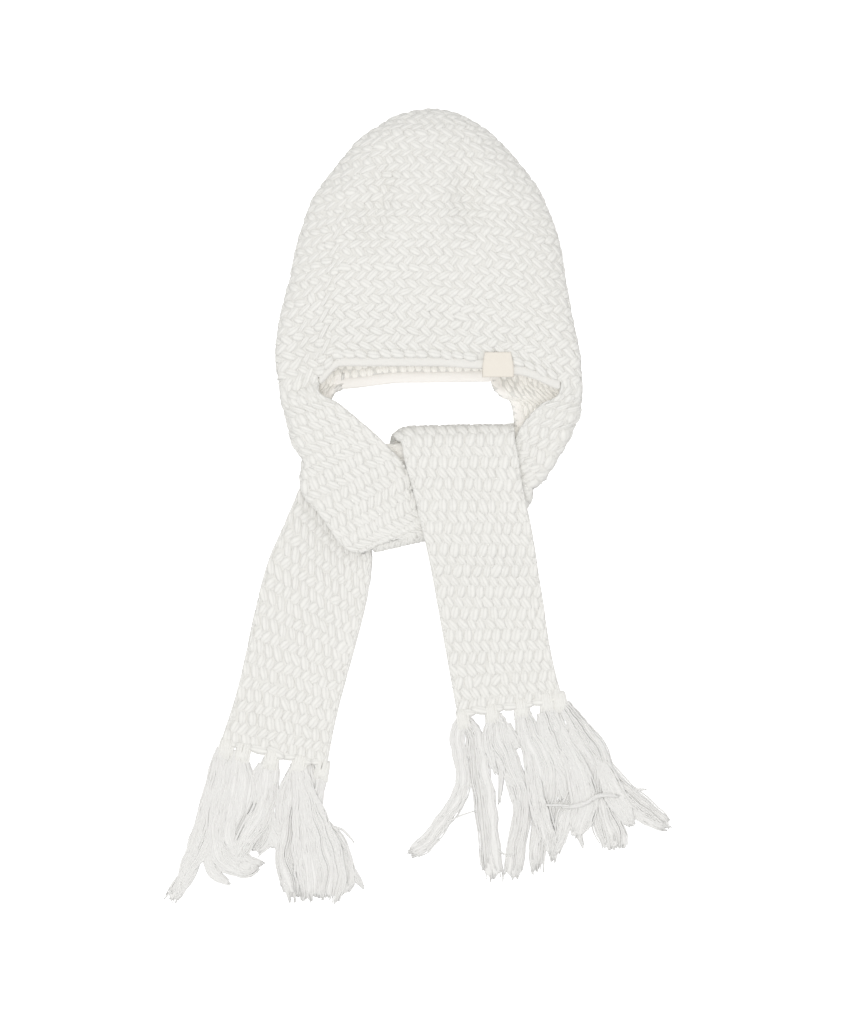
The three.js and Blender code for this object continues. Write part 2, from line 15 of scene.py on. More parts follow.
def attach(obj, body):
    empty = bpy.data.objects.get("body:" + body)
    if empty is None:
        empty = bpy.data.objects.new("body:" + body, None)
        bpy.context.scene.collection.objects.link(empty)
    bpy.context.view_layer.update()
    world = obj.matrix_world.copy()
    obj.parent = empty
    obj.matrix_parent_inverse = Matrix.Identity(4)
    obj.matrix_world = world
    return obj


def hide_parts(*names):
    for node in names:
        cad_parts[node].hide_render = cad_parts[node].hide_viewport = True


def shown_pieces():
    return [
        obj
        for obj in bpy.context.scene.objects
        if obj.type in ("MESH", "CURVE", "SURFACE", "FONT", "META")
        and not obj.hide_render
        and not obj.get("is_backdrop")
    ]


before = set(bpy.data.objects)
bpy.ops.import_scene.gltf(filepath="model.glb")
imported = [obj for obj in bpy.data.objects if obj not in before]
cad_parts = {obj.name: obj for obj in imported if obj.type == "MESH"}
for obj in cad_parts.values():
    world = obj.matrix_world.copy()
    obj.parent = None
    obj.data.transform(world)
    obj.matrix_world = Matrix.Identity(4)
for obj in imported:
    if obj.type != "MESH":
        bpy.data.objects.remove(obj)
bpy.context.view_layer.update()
MM = 0.001
chance = np.random.default_rng(11)

# %% [markdown]
# ## Camera and light
# The hat was laid flat and seen from straight above, so the camera looks down with a very long lens,
# which keeps the outline true. A bright even sky and one wide soft lamp almost overhead leave a faint
# shade between the stitches and no hard shadow. A small lamp from the side would show the knit more
# strongly, but the real thing was lit evenly from all round.

# %% Camera and light
PIXEL = 0.9  # mm of the floor in one pixel of the picture
PICTURE = (853, 1024)
MIDDLE = (-3.15, -235.8)  # the point of the floor under the picture's centre, in mm
LENS = 250
SENSOR = 36
TRUE_PLANE = 15  # height in mm at which the picture's scale holds
FAR_CLIP = 100  # in m
SKY = 0.82  # strength of the white sky
LAMP = {"place": (-0.25, -0.4, 2.4), "aim": (0, -0.24, 0), "size": 1.4, "watts": 16.6}  # in m


def put(name, data):
    """A new object in the scene that holds the data."""
    thing = bpy.data.objects.new(name, data)
    bpy.context.scene.collection.objects.link(thing)
    return thing


def studio_camera():
    eye = put("camera", bpy.data.cameras.new("camera"))
    eye.data.lens = LENS
    eye.data.sensor_width = SENSOR
    eye.data.clip_end = FAR_CLIP
    away = LENS / SENSOR * max(PICTURE) * PIXEL + TRUE_PLANE
    eye.location = (MIDDLE[0] * MM, MIDDLE[1] * MM, away * MM)
    bpy.context.scene.camera = eye
    return away


def lamp(name, place, aim, size, watts):
    light = put(name, bpy.data.lights.new(name, "AREA"))
    light.data.size = size
    light.data.energy = watts
    light.location = place
    light.rotation_euler = (Vector(aim) - Vector(place)).to_track_quat("-Z", "Y").to_euler()


def sky(strength):
    world = bpy.data.worlds.new("sky")
    bpy.context.scene.world = world
    world.use_nodes = True
    background = world.node_tree.nodes["Background"]
    background.inputs["Color"].default_value = (1, 1, 1, 1)
    background.inputs["Strength"].default_value = strength


bpy.context.scene.view_settings.view_transform = "Standard"
print("camera height in mm:", studio_camera())
sky(SKY)
lamp("soft_lamp", **LAMP)

# %% [markdown]
# ## Shader groups
# The yarn is one finish in several places, so its parts are node groups. One group draws the plies of
# a spun yarn, from how far along the strand a point lies and how far round it. Another gives the fine
# fibres and the faint cloudiness of wool. Groups give only heights and masks; the shader stays in the
# material.

# %% Node helpers and shader groups
def join(tree, source, target):
    tree.links.new(source, target)


def add(tree, kind, **values):
    """A node with its properties and sockets set. A socket may be given another node's output."""
    node = tree.nodes.new(kind)
    for key, value in values.items():
        if key in node.bl_rna.properties:
            setattr(node, key, value)
        elif hasattr(value, "links"):
            join(tree, value, node.inputs[key])
        else:
            node.inputs[key].default_value = value
    return node


def group(name, takes, gives):
    """A new group. It takes numbers with a usual value each, and a vector where that is None."""
    tree = bpy.data.node_groups.new(name, "ShaderNodeTree")
    for label, value in takes.items():
        kind = "NodeSocketVector" if value is None else "NodeSocketFloat"
        socket = tree.interface.new_socket(label, in_out="INPUT", socket_type=kind)
        if value is not None:
            socket.default_value = value
    for label in gives:
        tree.interface.new_socket(label, in_out="OUTPUT", socket_type="NodeSocketFloat")
    return tree, tree.nodes.new("NodeGroupInput"), tree.nodes.new("NodeGroupOutput")


def math_node(tree, operation, first, second=None):
    node = add(tree, "ShaderNodeMath", operation=operation)
    for socket, value in zip(node.inputs, (first, second)):
        if hasattr(value, "links"):
            join(tree, value, socket)
        elif value is not None:
            socket.default_value = value
    return node.outputs[0]


def plied_group():
    """Ridges that wind round a strand: Along is in mm and Round goes from 0 to 1."""
    takes = {"Along": 0.0, "Round": 0.0, "Plies": 4.0, "Pitch": 6.0}
    tree, inside, outside = group("plied_yarn", takes, ["Height"])
    turns = math_node(tree, "DIVIDE", inside.outputs["Along"], inside.outputs["Pitch"])
    sides = math_node(tree, "MULTIPLY", inside.outputs["Round"], inside.outputs["Plies"])
    phase = math_node(tree, "MULTIPLY", math_node(tree, "ADD", turns, sides), math.pi)
    ridge = math_node(tree, "ABSOLUTE", math_node(tree, "SINE", phase))
    join(tree, math_node(tree, "POWER", ridge, 0.6), outside.inputs["Height"])
    return tree


def wool_group():
    """Fine fibres as a height, and a slow cloudiness as a mask."""
    tree, inside, outside = group("wool_fibre", {"Vector": None, "Fibre": 900.0}, ["Height", "Cloud"])
    place, scale = inside.outputs["Vector"], inside.outputs["Fibre"]
    fuzz = {"Detail": 3.0, "Roughness": 0.65, "Distortion": 1.2}
    fibre = add(tree, "ShaderNodeTexNoise", Vector=place, Scale=scale, **fuzz)
    cloud = add(tree, "ShaderNodeTexNoise", Vector=place, Scale=38.0, Detail=2.0)
    join(tree, fibre.outputs["Fac"], outside.inputs["Height"])
    join(tree, cloud.outputs["Fac"], outside.inputs["Cloud"])
    return tree


PLIED = plied_group()
WOOL = wool_group()
print("shader groups:", [tree.name for tree in bpy.data.node_groups])

# %% [markdown]
# ## Yarn and floor
# The yarn is matt wool with a soft sheen. Its relief comes from the two groups. Its colour moves a
# little with the cloud mask, and painted shade darkens it between its plies and where a stitch dives
# under its neighbours. The hems, knots and tassels show no plies. The inner faces, and places that lie
# in shade, get the same wool drawn a warmer cream with a painted glow, which stands in for the light
# that comes through the knit. The wall behind the stitches is a darker yarn, as painted shade in the
# gaps between them. An image could carry all this, but made from nodes it stays sharp from close by.

# %% Materials
PLIES = 7.0  # ridges round a strand
PITCH = 40.0  # mm along the strand in which the ridges move on by one
FIBRE = 650.0  # scale of the fine fibres
# The second is painted shade at a stitch's ends, where it dives under its neighbours.
SPECK, DIVE_SHADE = 0.9, 0.72  # how dark the yarn is between its fibres and where a stitch dives
WOOL_FINISH = {"Roughness": 0.92, "Specular IOR Level": 0.2, "Sheen Weight": 0.25, "Sheen Roughness": 0.5}
FLOOR_GREY = 0.78
FLOOR_GLOW = 1.2


def new_material(name, sockets):
    """A material, its tree and its shader, with plain values set on the shader's own sockets."""
    material = bpy.data.materials.new(name)
    material.use_nodes = True
    shader = material.node_tree.nodes["Principled BSDF"]
    for socket, value in sockets.items():
        shader.inputs[socket].default_value = value
    return material, material.node_tree, shader


def bump(tree, height, distance, strength, **under):
    node = add(tree, "ShaderNodeBump", Distance=distance, Strength=strength, Height=height, **under)
    return node.outputs["Normal"]


def blend_colours(tree, mask, first, second):
    """From one colour, or from what another node gives, to a second colour by a mask."""
    node = add(tree, "ShaderNodeMix", data_type="RGBA", Factor=mask)
    if hasattr(first, "links"):
        join(tree, first, node.inputs[6])
    else:
        node.inputs[6].default_value = (*first, 1)
    node.inputs[7].default_value = (*second, 1)
    return node.outputs[2]


def darker(colour, share):
    return tuple(share * part for part in colour)


def yarn_material(name, light, shade, glow=0.0, ply_shade=0.0):
    """Spun wool. Its glow is painted light: an emission that stands in for the light that comes through
    the knit to its inner face. Its ply shade is painted shade: how much darker the yarn is between its
    plies, and where it is 0 no plies show. A stitch of plied yarn has an attribute, strand, of mm along
    it, the turn round it and how near its end a point lies; near the end the yarn gets painted shade
    where it dives."""
    finish = {**WOOL_FINISH, "Emission Color": (*light, 1), "Emission Strength": glow}
    material, tree, shader = new_material(name, finish)
    place = add(tree, "ShaderNodeTexCoord").outputs["Object"]
    wool = add(tree, "ShaderNodeGroup", node_tree=WOOL, Vector=place, Fibre=FIBRE).outputs
    colour = blend_colours(tree, wool["Cloud"], light, shade)
    colour = blend_colours(tree, wool["Height"], colour, darker(shade, SPECK))
    under = {}
    if ply_shade:
        strand = add(tree, "ShaderNodeAttribute", attribute_name="strand").outputs["Vector"]
        along, turn, end = add(tree, "ShaderNodeSeparateXYZ", Vector=strand).outputs
        wound = {"Along": along, "Round": turn, "Plies": PLIES, "Pitch": PITCH}
        ridge = add(tree, "ShaderNodeGroup", node_tree=PLIED, **wound).outputs["Height"]
        under["Normal"] = bump(tree, ridge, 0.0007, 0.4)
        # Painted shade in the grooves between the plies.
        groove = math_node(tree, "SUBTRACT", 1.0, ridge)
        colour = blend_colours(tree, groove, colour, darker(shade, 1 - ply_shade))
        # Painted shade at the stitch's ends, where it dives under its neighbours.
        colour = blend_colours(tree, math_node(tree, "POWER", end, 5.0), colour, darker(shade, DIVE_SHADE))
    join(tree, bump(tree, wool["Height"], 0.001, 0.5, **under), shader.inputs["Normal"])
    join(tree, colour, shader.inputs["Base Color"])
    return material


def floor_material():
    """A white table top. To the camera it glows, so it stays white in the shade, but it lights the
    knit from below no more than a grey one would."""
    grey = (FLOOR_GREY, FLOOR_GREY, FLOOR_GREY, 1)
    finish = {"Base Color": grey, "Roughness": 0.9, "Emission Color": (1, 1, 1, 1)}
    material, tree, shader = new_material("floor", finish)
    seen = add(tree, "ShaderNodeLightPath").outputs["Is Camera Ray"]
    join(tree, math_node(tree, "MULTIPLY", seen, FLOOR_GLOW), shader.inputs["Emission Strength"])
    return material


YARN = yarn_material("yarn", (0.95, 0.94, 0.905), (0.92, 0.91, 0.87), ply_shade=0.15)
# The inner yarn is the same wool drawn a warmer cream, with a painted glow that lightens faces lying in
# shade.
CREAM_PAINTED_GLOW = yarn_material("yarn_inside_painted_glow", (0.94, 0.92, 0.88), (0.91, 0.89, 0.84), glow=0.17, ply_shade=0.1)
HEM = yarn_material("yarn_hem", (0.90, 0.89, 0.855), (0.865, 0.85, 0.81))
# The hems seen inside the hat get the same painted glow.
HEM_INSIDE_PAINTED_GLOW = yarn_material("yarn_hem_inside_painted_glow", (0.94, 0.92, 0.89), (0.91, 0.88, 0.84), glow=0.14)
# The wall's yarn is darker: painted shade in the gaps between the stitches.
CORE_PAINTED_SHADE = yarn_material("yarn_core_painted_shade", (0.88, 0.87, 0.83), (0.84, 0.83, 0.79))
KNOT_WOOL = yarn_material("yarn_knots", (0.93, 0.92, 0.885), (0.90, 0.89, 0.85))
FRINGE = yarn_material("yarn_fringe", (0.94, 0.935, 0.915), (0.91, 0.90, 0.875))
print("materials:", sorted(m.name for m in bpy.data.materials))

# %% [markdown]
# ## The floor
# A plain pale sheet, far wider than the picture, so that no edge of it is seen from any side.

# %% Floor
FLOOR_HALF = 6  # m from the middle of the sheet to its edges


def mesh_of(bm, name):
    """The bmesh made a mesh, after which it is freed."""
    mesh = bpy.data.meshes.new(name)
    bm.to_mesh(mesh)
    bm.free()
    return mesh


def floor_sheet():
    bm = bmesh.new()
    bmesh.ops.create_grid(bm, x_segments=1, y_segments=1, size=FLOOR_HALF)
    floor = put("floor", mesh_of(bm, "floor"))
    floor.data.materials.append(floor_material())
    floor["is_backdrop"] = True
    return floor


print("floor:", floor_sheet().name)

# %% [markdown]
# ## The hat as a surface
# The hat's knit is one curved sheet. It could be sculpted, but its shape is told well by how wide and
# how high it is at a few places from the top of the head to the rim. Smooth curves through those rows
# give its outer face, and half the knit's thickness further in lies the middle of the wall. The same
# rows made the frame's solid, so the two agree.

# %% Measures of the hat
KNIT = 6.0  # thickness of the knit, in mm
SQUARENESS = 2.4  # exponent of the cross-section: 2 would be an ellipse
# The outline from the top of the head to the rim: y, left, right, low, high.
CROWN = np.array(
    [
        (127.5, 1.35, 1.35, 21, 21),
        (126, -10.8, 13.5, 15, 27),
        (121.5, -28.8, 27.9, 8, 36),
        (117, -37.8, 36.9, 4, 41),
        (108, -52.2, 51.3, 0.5, 47),
        (99, -64.8, 61.2, -1.5, 51),
        (81, -80.1, 77.4, -2, 56),
        (63, -93.6, 91.8, -2, 59),
        (45, -106.2, 102.6, -2, 61),
        (9, -118.8, 116.1, -2, 62),
        (-27, -126.9, 122.4, -2, 60),
        (-63, -135.9, 128.7, -2, 54),
        (-90, -139.5, 134.6, -2, 46),
        (-108, -138.6, 136.9, -2, 39),
        (-125.1, -135.9, 137.6, -2, 34),
    ]
)
TOP, SIDE = 126, -125.1
# Where the knit ends, by angle round the rim: 0 is the right side and 90 the front.
RIM_AT = np.array([0, 33, 61, 75, 90, 122, 135, 150, 180, 215, 239, 265, 289, 315, 340, 360])
RIM_Y = np.array(
    [-124.2, -117.9, -104.4, -99, -96.8, -96.8, -113.4, -122.4]
    + [-126, -122.4, -115.2, -109.8, -108.9, -117, -123.3, -124.2]
)
FRONT_HEM = (34, 134.5)
BACK_HEM = (233, 290)
LEFT_SIDE = (135, 239)
RIGHT_SIDE = (33.3, -70.7)
LABEL = (61.3, 74.2)
# Soft hollows in the upper face: x, y, depth, wide, long.
DENTS = [(-40, 60, 8, 10, 24), (-52, 28, 10, 13, 32), (34, 46, 12, 14, 32), (-112, -100, 9, 14, 26)]
print("hat rows:", len(CROWN), "dents:", len(DENTS))


# %% Curves through rows
def unit(vectors):
    return vectors / np.maximum(np.linalg.norm(vectors, axis=-1, keepdims=True), 1e-9)


def through(table, places):
    """A smooth curve through the rows of a table, read at places that count its rows."""
    table = np.asarray(table, float)
    ends = np.concatenate([[2 * table[0] - table[1]], table, [2 * table[-1] - table[-2]]])
    places = np.asarray(places, float)
    low = np.clip(np.floor(places).astype(int), 0, len(table) - 2)
    t = (places - low).reshape((-1,) + (1,) * (table.ndim - 1))
    a, b, c, d = (ends[low + k] for k in range(4))
    return 0.5 * (2 * b + (c - a) * t + (2 * a - 5 * b + 4 * c - d) * t**2 + (3 * b - a - 3 * c + d) * t**3)


def rim_height(degrees):
    at = np.mod(degrees, 360)
    following = np.clip(np.searchsorted(RIM_AT, at), 1, len(RIM_AT) - 1)
    part = (at - RIM_AT[following - 1]) / (RIM_AT[following] - RIM_AT[following - 1])
    part = part * part * (3 - 2 * part)
    return RIM_Y[following - 1] * (1 - part) + RIM_Y[following] * part


def fuller(wave, power):
    """A sine or cosine pushed out, so that a round section gets fuller corners."""
    return np.sign(wave) * np.abs(wave) ** power


def hat_face(places, degrees):
    """Points of the outer face, for a place of the table and an angle round the hat."""
    y, left, right, low, high = np.moveaxis(through(CROWN, places), -1, 0)
    turn = np.radians(degrees)
    across = fuller(np.cos(turn), 2 / SQUARENESS)
    up = fuller(np.sin(turn), 2 / SQUARENESS)
    x = (left + right) / 2 + across * (right - left) / 2
    y = TOP + (y - TOP) * (rim_height(degrees) - TOP) / (SIDE - TOP)
    z = (low + high) / 2 + up * (high - low) / 2
    for dent_x, dent_y, depth, wide, long in DENTS:
        hollow = np.exp(-(((x - dent_x) / wide) ** 2) - ((y - dent_y) / long) ** 2)
        z = z - depth * hollow * np.clip(up, 0, None)
    return np.stack([x, y, np.clip(z, 0, None)], -1)


def rim_face(degrees, back=0):
    """The outer face at the table's last row, or at a row so many places back from it."""
    return hat_face(np.full_like(degrees, len(CROWN) - 1.0 - back), degrees)


def rim_normal(degrees):
    ahead = rim_face(degrees + 4) - rim_face(degrees - 4)
    return unit(np.stack([ahead[..., 2], 0 * ahead[..., 0], -ahead[..., 0]], -1))


def wall_middle(degrees):
    degrees = np.asarray(degrees, float)
    return rim_face(degrees) - rim_normal(degrees) * KNIT / 2


print("front of the rim in mm:", wall_middle([90.0]).round(1).tolist())

# %% [markdown]
# ## Cloth that anything can be laid on
# Every piece of knit is handled the same way: a grid of points in space, with one direction across
# and one along. A stitch is first drawn flat, in millimetres across, along and up from the cloth, and
# each of its points is then moved to its place on the grid. It is how a pattern follows a fold
# without stretching.

# %% The cloth class
def run_along(points):
    """How far along a polyline each of its points lies."""
    return np.concatenate([[0], np.cumsum(np.linalg.norm(np.diff(points, axis=0), axis=1))])


def even_line(points, count):
    """Points at even spacing along a polyline."""
    points = np.asarray(points, float)
    run = run_along(points)
    goal = np.linspace(0, run[-1], count)
    return np.stack([np.interp(goal, run, points[:, k]) for k in range(3)], -1)


def even_rows(grid, spacing):
    """The same surface with rows at an even spacing, by the mean length of its columns."""
    steps = np.linalg.norm(np.diff(grid, axis=0), axis=2).mean(1)
    run = np.concatenate([[0], np.cumsum(steps)])
    goal = np.linspace(0, run[-1], round(run[-1] / spacing) + 1)
    place = np.interp(goal, run, np.arange(len(run)))
    low = np.minimum(place.astype(int), len(grid) - 2)
    part = (place - low)[:, None, None]
    return grid[low] * (1 - part) + grid[low + 1] * part


class Cloth:
    """A sheet in space, in mm. u goes across it and v along it, both from 0 to 1."""

    def __init__(self, points, closed=False):
        self.points = points
        self.closed = closed
        rows, columns = points.shape[:2]
        if closed:
            across = (np.roll(points, -1, 1) - np.roll(points, 1, 1)) / 2 * columns
        else:
            across = np.gradient(points, axis=1) * (columns - 1)
        along = np.gradient(points, axis=0) * (rows - 1)
        self.normals = unit(np.cross(across, along))
        self.wide = np.linalg.norm(across, axis=-1)
        self.long = np.linalg.norm(along, axis=-1)
        self.length = self.long.mean()

    def read(self, grid, u, v):
        rows, columns = grid.shape[:2]
        x = np.mod(u, 1) * columns if self.closed else u * (columns - 1)
        y = v * (rows - 1)
        i = np.clip(np.floor(y).astype(int), 0, rows - 2)
        j = np.clip(np.floor(x).astype(int), 0, columns - 1 if self.closed else columns - 2)
        k = (j + 1) % columns
        shape = x.shape + (1,) * (grid.ndim - 2)
        fx, fy = (x - j).reshape(shape), (y - i).reshape(shape)
        near = grid[i, j] * (1 - fx) + grid[i, k] * fx
        far = grid[i + 1, j] * (1 - fx) + grid[i + 1, k] * fx
        return near * (1 - fy) + far * fy

    def at(self, u, v, height=0.0):
        """Points at a height above the cloth's middle."""
        height = np.broadcast_to(height, u.shape)[..., None]
        return self.read(self.points, u, v) + unit(self.read(self.normals, u, v)) * height


ROUND = np.linspace(270, 630, 721)  # angles once round the hat, from the middle of its back
HAT_GRID = (150, 240)  # rows along and points round, before the rows are spaced evenly
ROW_SPACE = 2.5  # mm between the rows of the hat's grid


def hat_cloth():
    rows, columns = HAT_GRID
    places = np.linspace(0, len(CROWN) - 1, rows)
    face = np.stack([hat_face(np.full_like(ROUND, p), ROUND) for p in places])
    ring = Cloth(face[:, :-1], closed=True)
    normals = ring.normals.copy()
    normals[0] = unit(normals[1].mean(0))
    normals[..., 1] *= (1 - places / places[-1])[:, None]
    middle = face[:, :-1] - unit(normals) * KNIT / 2
    rings = [even_line(np.vstack([line, line[:1]]), columns + 1)[:-1] for line in middle]
    return Cloth(even_rows(np.array(rings), ROW_SPACE), closed=True)


hat = hat_cloth()
print("hat cloth:", hat.points.shape)
print("rim to top in mm:", round(hat.length), "round the rim:", round(hat.wide[-1].mean()))

# %% [markdown]
# ## The arms as surfaces
# Each arm is a strip that leaves the side of the rim, bends inwards and joins the half knot. A cloth
# simulation could tie it, but the knot's layers are known, so it is surer to give each arm a short
# table of rows across it: where the edge near the neck hole lies, where the outer edge or fold lies,
# and their heights. Where the arm is wider than that distance, the rest is folded back under it.

# %% Rows of the arms
# near x, near y, far x, far y, z at near, z at far, and where the arm is folded back, the radius of the
# fold and the width of the cloth.
LEFT_ARM = [
    (-99.9, -128.7, -132.5, -134.1, 27.5, 24, 10.5, 95),
    (-85.5, -136.8, -128.8, -147.6, 27.5, 25, 11, 95),
    (-67.5, -151.2, -122.8, -172.8, 25.5, 24, 9.5, 94),
    (-44, -171.8, -115, -210.6, 20.5, 22, 6, 85),
    (-19.5, -200, -94.5, -243, 16.8, 20.5, 4, 80),
    (-12.5, -228, -77.4, -266.4, 16.8, 19),
    (0, -241.2, -63, -271.8, 16.6, 17.6),
]
UNDERPASS = [(40.5, -207, -45, -217.8, 3, 3)]
LEFT_END = [
    (79.2, -190.8, -21.6, -190.8, 23.4, 23.4),
    (82.8, -216, -15.3, -212.4, 23.4, 23.4),
    (88.2, -239.4, -9, -239.4, 23.4, 23.4),
    (93.6, -268.2, -2.7, -266.4, 19, 22.4),
    (97.2, -292.5, 2.7, -292.5, 10, 14),
    (101.7, -319.5, 7.2, -317.7, 5, 6),
    (106.2, -351, 13.5, -352.8, 3.6, 3.8),
    (112.5, -381.6, 19.8, -387.9, 3.6, 3.6),
    (118.8, -404.1, 25.2, -417.6, 5, 5),
]
RIGHT_ARM = [
    (115.2, -131.4, 134.6, -132.3, 24.5, 22.5, 9.7, 104),
    (99.9, -139.5, 133.7, -146.7, 25, 24, 10.3, 110),
    (81.9, -160.2, 126.5, -163.8, 21, 21, 7.5, 104),
    (77.6, -170.2, 113, -187.5, 17, 17, 3.7, 91),
    (73.8, -171.9, 100.5, -207.5, 16.7, 16.7, 3.5, 94.5),
    (61.2, -171.9, 87.3, -229.5, 16.6, 16.6, 3.4, 94.5),
    (42.3, -171.9, 60.3, -245.7, 16.6, 16.6, 3.4, 94.5),
    (22.5, -171.9, 35.1, -252, 12.5, 12.5, 3.4, 86),
    (-1.8, -173.7, 5.4, -248.2, 9.8, 9.8),
    (-27, -174.6, -19.8, -253.8, 9.8, 9.8),
    (-46.8, -176.4, -37.8, -257.4, 9.8, 9.8),
    (-70.2, -184.5, -52.6, -265.5, 9.3, 9.8),
    (-96.3, -197.1, -52.6, -275.4, 8.3, 9.3),
    (-114.5, -211.5, -53.1, -285.3, 7, 8),
    (-124, -231.5, -54.9, -300.6, 5.2, 5.6),
    (-134, -254.5, -58.1, -317.7, 3.6, 3.8),
    (-144, -277.2, -62.1, -334.8, 3.3, 3.3),
    (-154.8, -315, -68.4, -358.2, 3.3, 3.3),
    (-172.8, -396, -84.6, -418.5, 3.3, 3.3),
    (-187.7, -442.8, -93.6, -463.5, 5, 5),
]
# The two turns of the left arm: near and far ends on the way in, at the crease and on the way out,
# their heights, and how far the far corner of the crease is rounded off.
LOWER_TURN = {
    "enter": ((11.7, -248.4), (-50.4, -263.7)),
    "crest": ((12.6, -255.3), (-50.4, -269.6)),
    "leave": ((11.7, -248.4), (-50.4, -263.7)),
    "heights": (16.6, 3),
    "round": 0,
}
UPPER_TURN = {
    "enter": ((74.6, -171), (-35.1, -173.2)),
    "crest": ((74.6, -158.7), (-32.4, -160.9)),
    "leave": ((75.4, -171), (-25.2, -172.8)),
    "heights": (3, 23.4),
    "round": 7,
}
CORNER = 16  # mm over which that corner is rounded
ACROSS = 64  # points across an arm
BEND_STEPS = 17  # points round a folded edge
TURN_STEPS = 6  # rows round a turn, less one
RIM_DROPS = (-5, 0, 6)  # mm below the rim at which an arm's first rows lie
ARM_PARTS = 10  # rows made between two rows of a table
ARM_SPACE = 2.0  # mm between the rows of an arm's grid
print("rows:", len(LEFT_ARM), len(UNDERPASS), len(LEFT_END), len(RIGHT_ARM))


# %% Arm surfaces
def arm_section(row):
    near_x, near_y, far_x, far_y, near_z, far_z, *folded = row
    fold, width = folded or (0, 0)
    near = np.array([near_x, near_y, near_z], float)
    far = np.array([far_x, far_y, far_z], float)
    reach = np.linalg.norm(far - near)
    if width <= reach:
        return even_line([near, far], ACROSS)
    out = (far - near) / reach
    centre = far - out * fold
    tail = width - (reach - fold)
    bend = min(math.pi, tail / fold)
    turns = np.linspace(0, bend, BEND_STEPS)[:, None]
    curve = centre + out * fold * np.sin(turns) - np.array([0, 0, fold]) * (1 - np.cos(turns))
    back = max(0, tail - bend * fold)
    return even_line([near, *curve, curve[-1] - out * back], ACROSS)


def table_sections(table):
    return [arm_section(row) for row in table]


def rim_sections(side):
    """The first rows of an arm, which follow the rim."""
    sections = []
    for drop in RIM_DROPS:
        line = wall_middle(np.linspace(*side, 160))
        line[:, 1] -= drop
        sections.append(even_line(line, ACROSS))
    return sections


def turn_sections(turn):
    sections = []
    for angle in np.linspace(0, math.pi, TURN_STEPS + 1):
        base = turn["enter"] if angle <= math.pi / 2 else turn["leave"]
        start, end = turn["heights"]
        z = start + (end - start) * (1 - math.cos(angle)) / 2
        ends = np.array(base) + (np.array(turn["crest"]) - np.array(base)) * math.sin(angle)
        line = even_line([(*ends[0], z), (*ends[1], z)], ACROSS)
        to_end = np.linalg.norm(line - line[-1], axis=1)
        line[:, 1] -= turn["round"] * math.sin(angle) * np.clip(1 - to_end / CORNER, 0, 1) ** 2
        sections.append(line)
    return sections


def smooth_rows(sections, parts):
    """Centripetal Catmull-Rom rows between the given ones, column by column."""
    s = np.array(sections)
    s = np.concatenate([[2 * s[0] - s[1]], s, [2 * s[-1] - s[-2]]])
    rows = []
    for a, b, c, d in zip(s, s[1:], s[2:], s[3:]):
        steps = (b - a, c - b, d - c)
        gap = [np.maximum(np.linalg.norm(step, axis=1, keepdims=True) ** 0.5, 1e-3) for step in steps]
        out = ((b - a) / gap[0] - (c - a) / (gap[0] + gap[1]) + (c - b) / gap[1]) * gap[1]
        into = ((c - b) / gap[1] - (d - b) / (gap[1] + gap[2]) + (d - c) / gap[2]) * gap[1]
        for t in np.arange(parts) / parts:
            cubic = (2 * b - 2 * c + out + into) * t**3 + (3 * c - 3 * b - 2 * out - into) * t**2
            rows.append(cubic + out * t + b)
    return np.array([*rows, s[-2]])


def arm_cloth(*groups):
    sections = [section for group_of_rows in groups for section in group_of_rows]
    return Cloth(even_rows(smooth_rows(sections, ARM_PARTS), ARM_SPACE))


left_arm = arm_cloth(
    rim_sections(LEFT_SIDE),
    table_sections(LEFT_ARM),
    turn_sections(LOWER_TURN),
    table_sections(UNDERPASS),
    turn_sections(UPPER_TURN),
    table_sections(LEFT_END),
)
right_arm = arm_cloth(rim_sections(RIGHT_SIDE), table_sections(RIGHT_ARM))
print("arm lengths in mm:", round(left_arm.length), round(right_arm.length))

# %% [markdown]
# ## Walls of knit
# Behind the stitches lies an even wall of soft yarn, which closes the gaps between them. Its yarn is
# darker than the stitches', as painted shade in those gaps. It is a flat grid whose points are moved
# onto the cloth's middle, and a Solidify modifier gives it thickness both ways. It keeps the two faces
# of stitches apart, as the knit does.

# %% Helpers for pieces
CLEAR = 0.15  # mm, the least height of a wall or a hem above the floor
WELD = 1e-6  # m within which points become one


def finish_piece(bm, name, material, replaced=()):
    return finish_mesh(mesh_of(bm, name), name, material, replaced)


def finish_mesh(mesh, name, material, replaced=()):
    mesh.name = name
    mesh.materials.clear()
    mesh.materials.append(material)
    mesh.shade_smooth()
    piece = put(name, mesh)
    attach(piece, "root")
    if replaced:
        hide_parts(*replaced)
    return piece


def bent_grid(across, along, shape):
    """A flat grid of the given facets whose points go to shape(u, v), in mm; touching edges merge."""
    bm = bmesh.new()
    bmesh.ops.create_grid(bm, x_segments=across, y_segments=along, size=0.5)
    flat = np.array([vertex.co for vertex in bm.verts]) + 0.5
    points = shape(flat[:, 0], flat[:, 1])
    points[:, 2] = np.maximum(points[:, 2], CLEAR)
    for vertex, point in zip(bm.verts, points):
        vertex.co = point * MM
    bmesh.ops.remove_doubles(bm, verts=bm.verts, dist=WELD)
    bmesh.ops.recalc_face_normals(bm, faces=bm.faces)
    return bm


def thicken(piece, thickness):
    """Give a sheet a thickness in mm, half of it on each side."""
    solid = piece.modifiers.new("thickness", "SOLIDIFY")
    solid.thickness = thickness * MM
    solid.offset = 0
    return piece


# %% Walls
WALL = 4.4  # mm, thickness of the wall between the two faces of stitches


def wall(name, cloth, across, along, replaced):
    return thicken(finish_piece(bent_grid(across, along, cloth.at), name, CORE_PAINTED_SHADE, replaced), WALL)


hat_wall = wall("hat_wall", hat, 150, 90, ["crown"])
left_wall = wall("left_arm_wall", left_arm, 24, 230, ["scarf_arm_left"])
right_wall = wall("right_arm_wall", right_arm, 24, 200, ["scarf_arm_right"])
print("walls:", [len(piece.data.polygons) for piece in (hat_wall, left_wall, right_wall)])

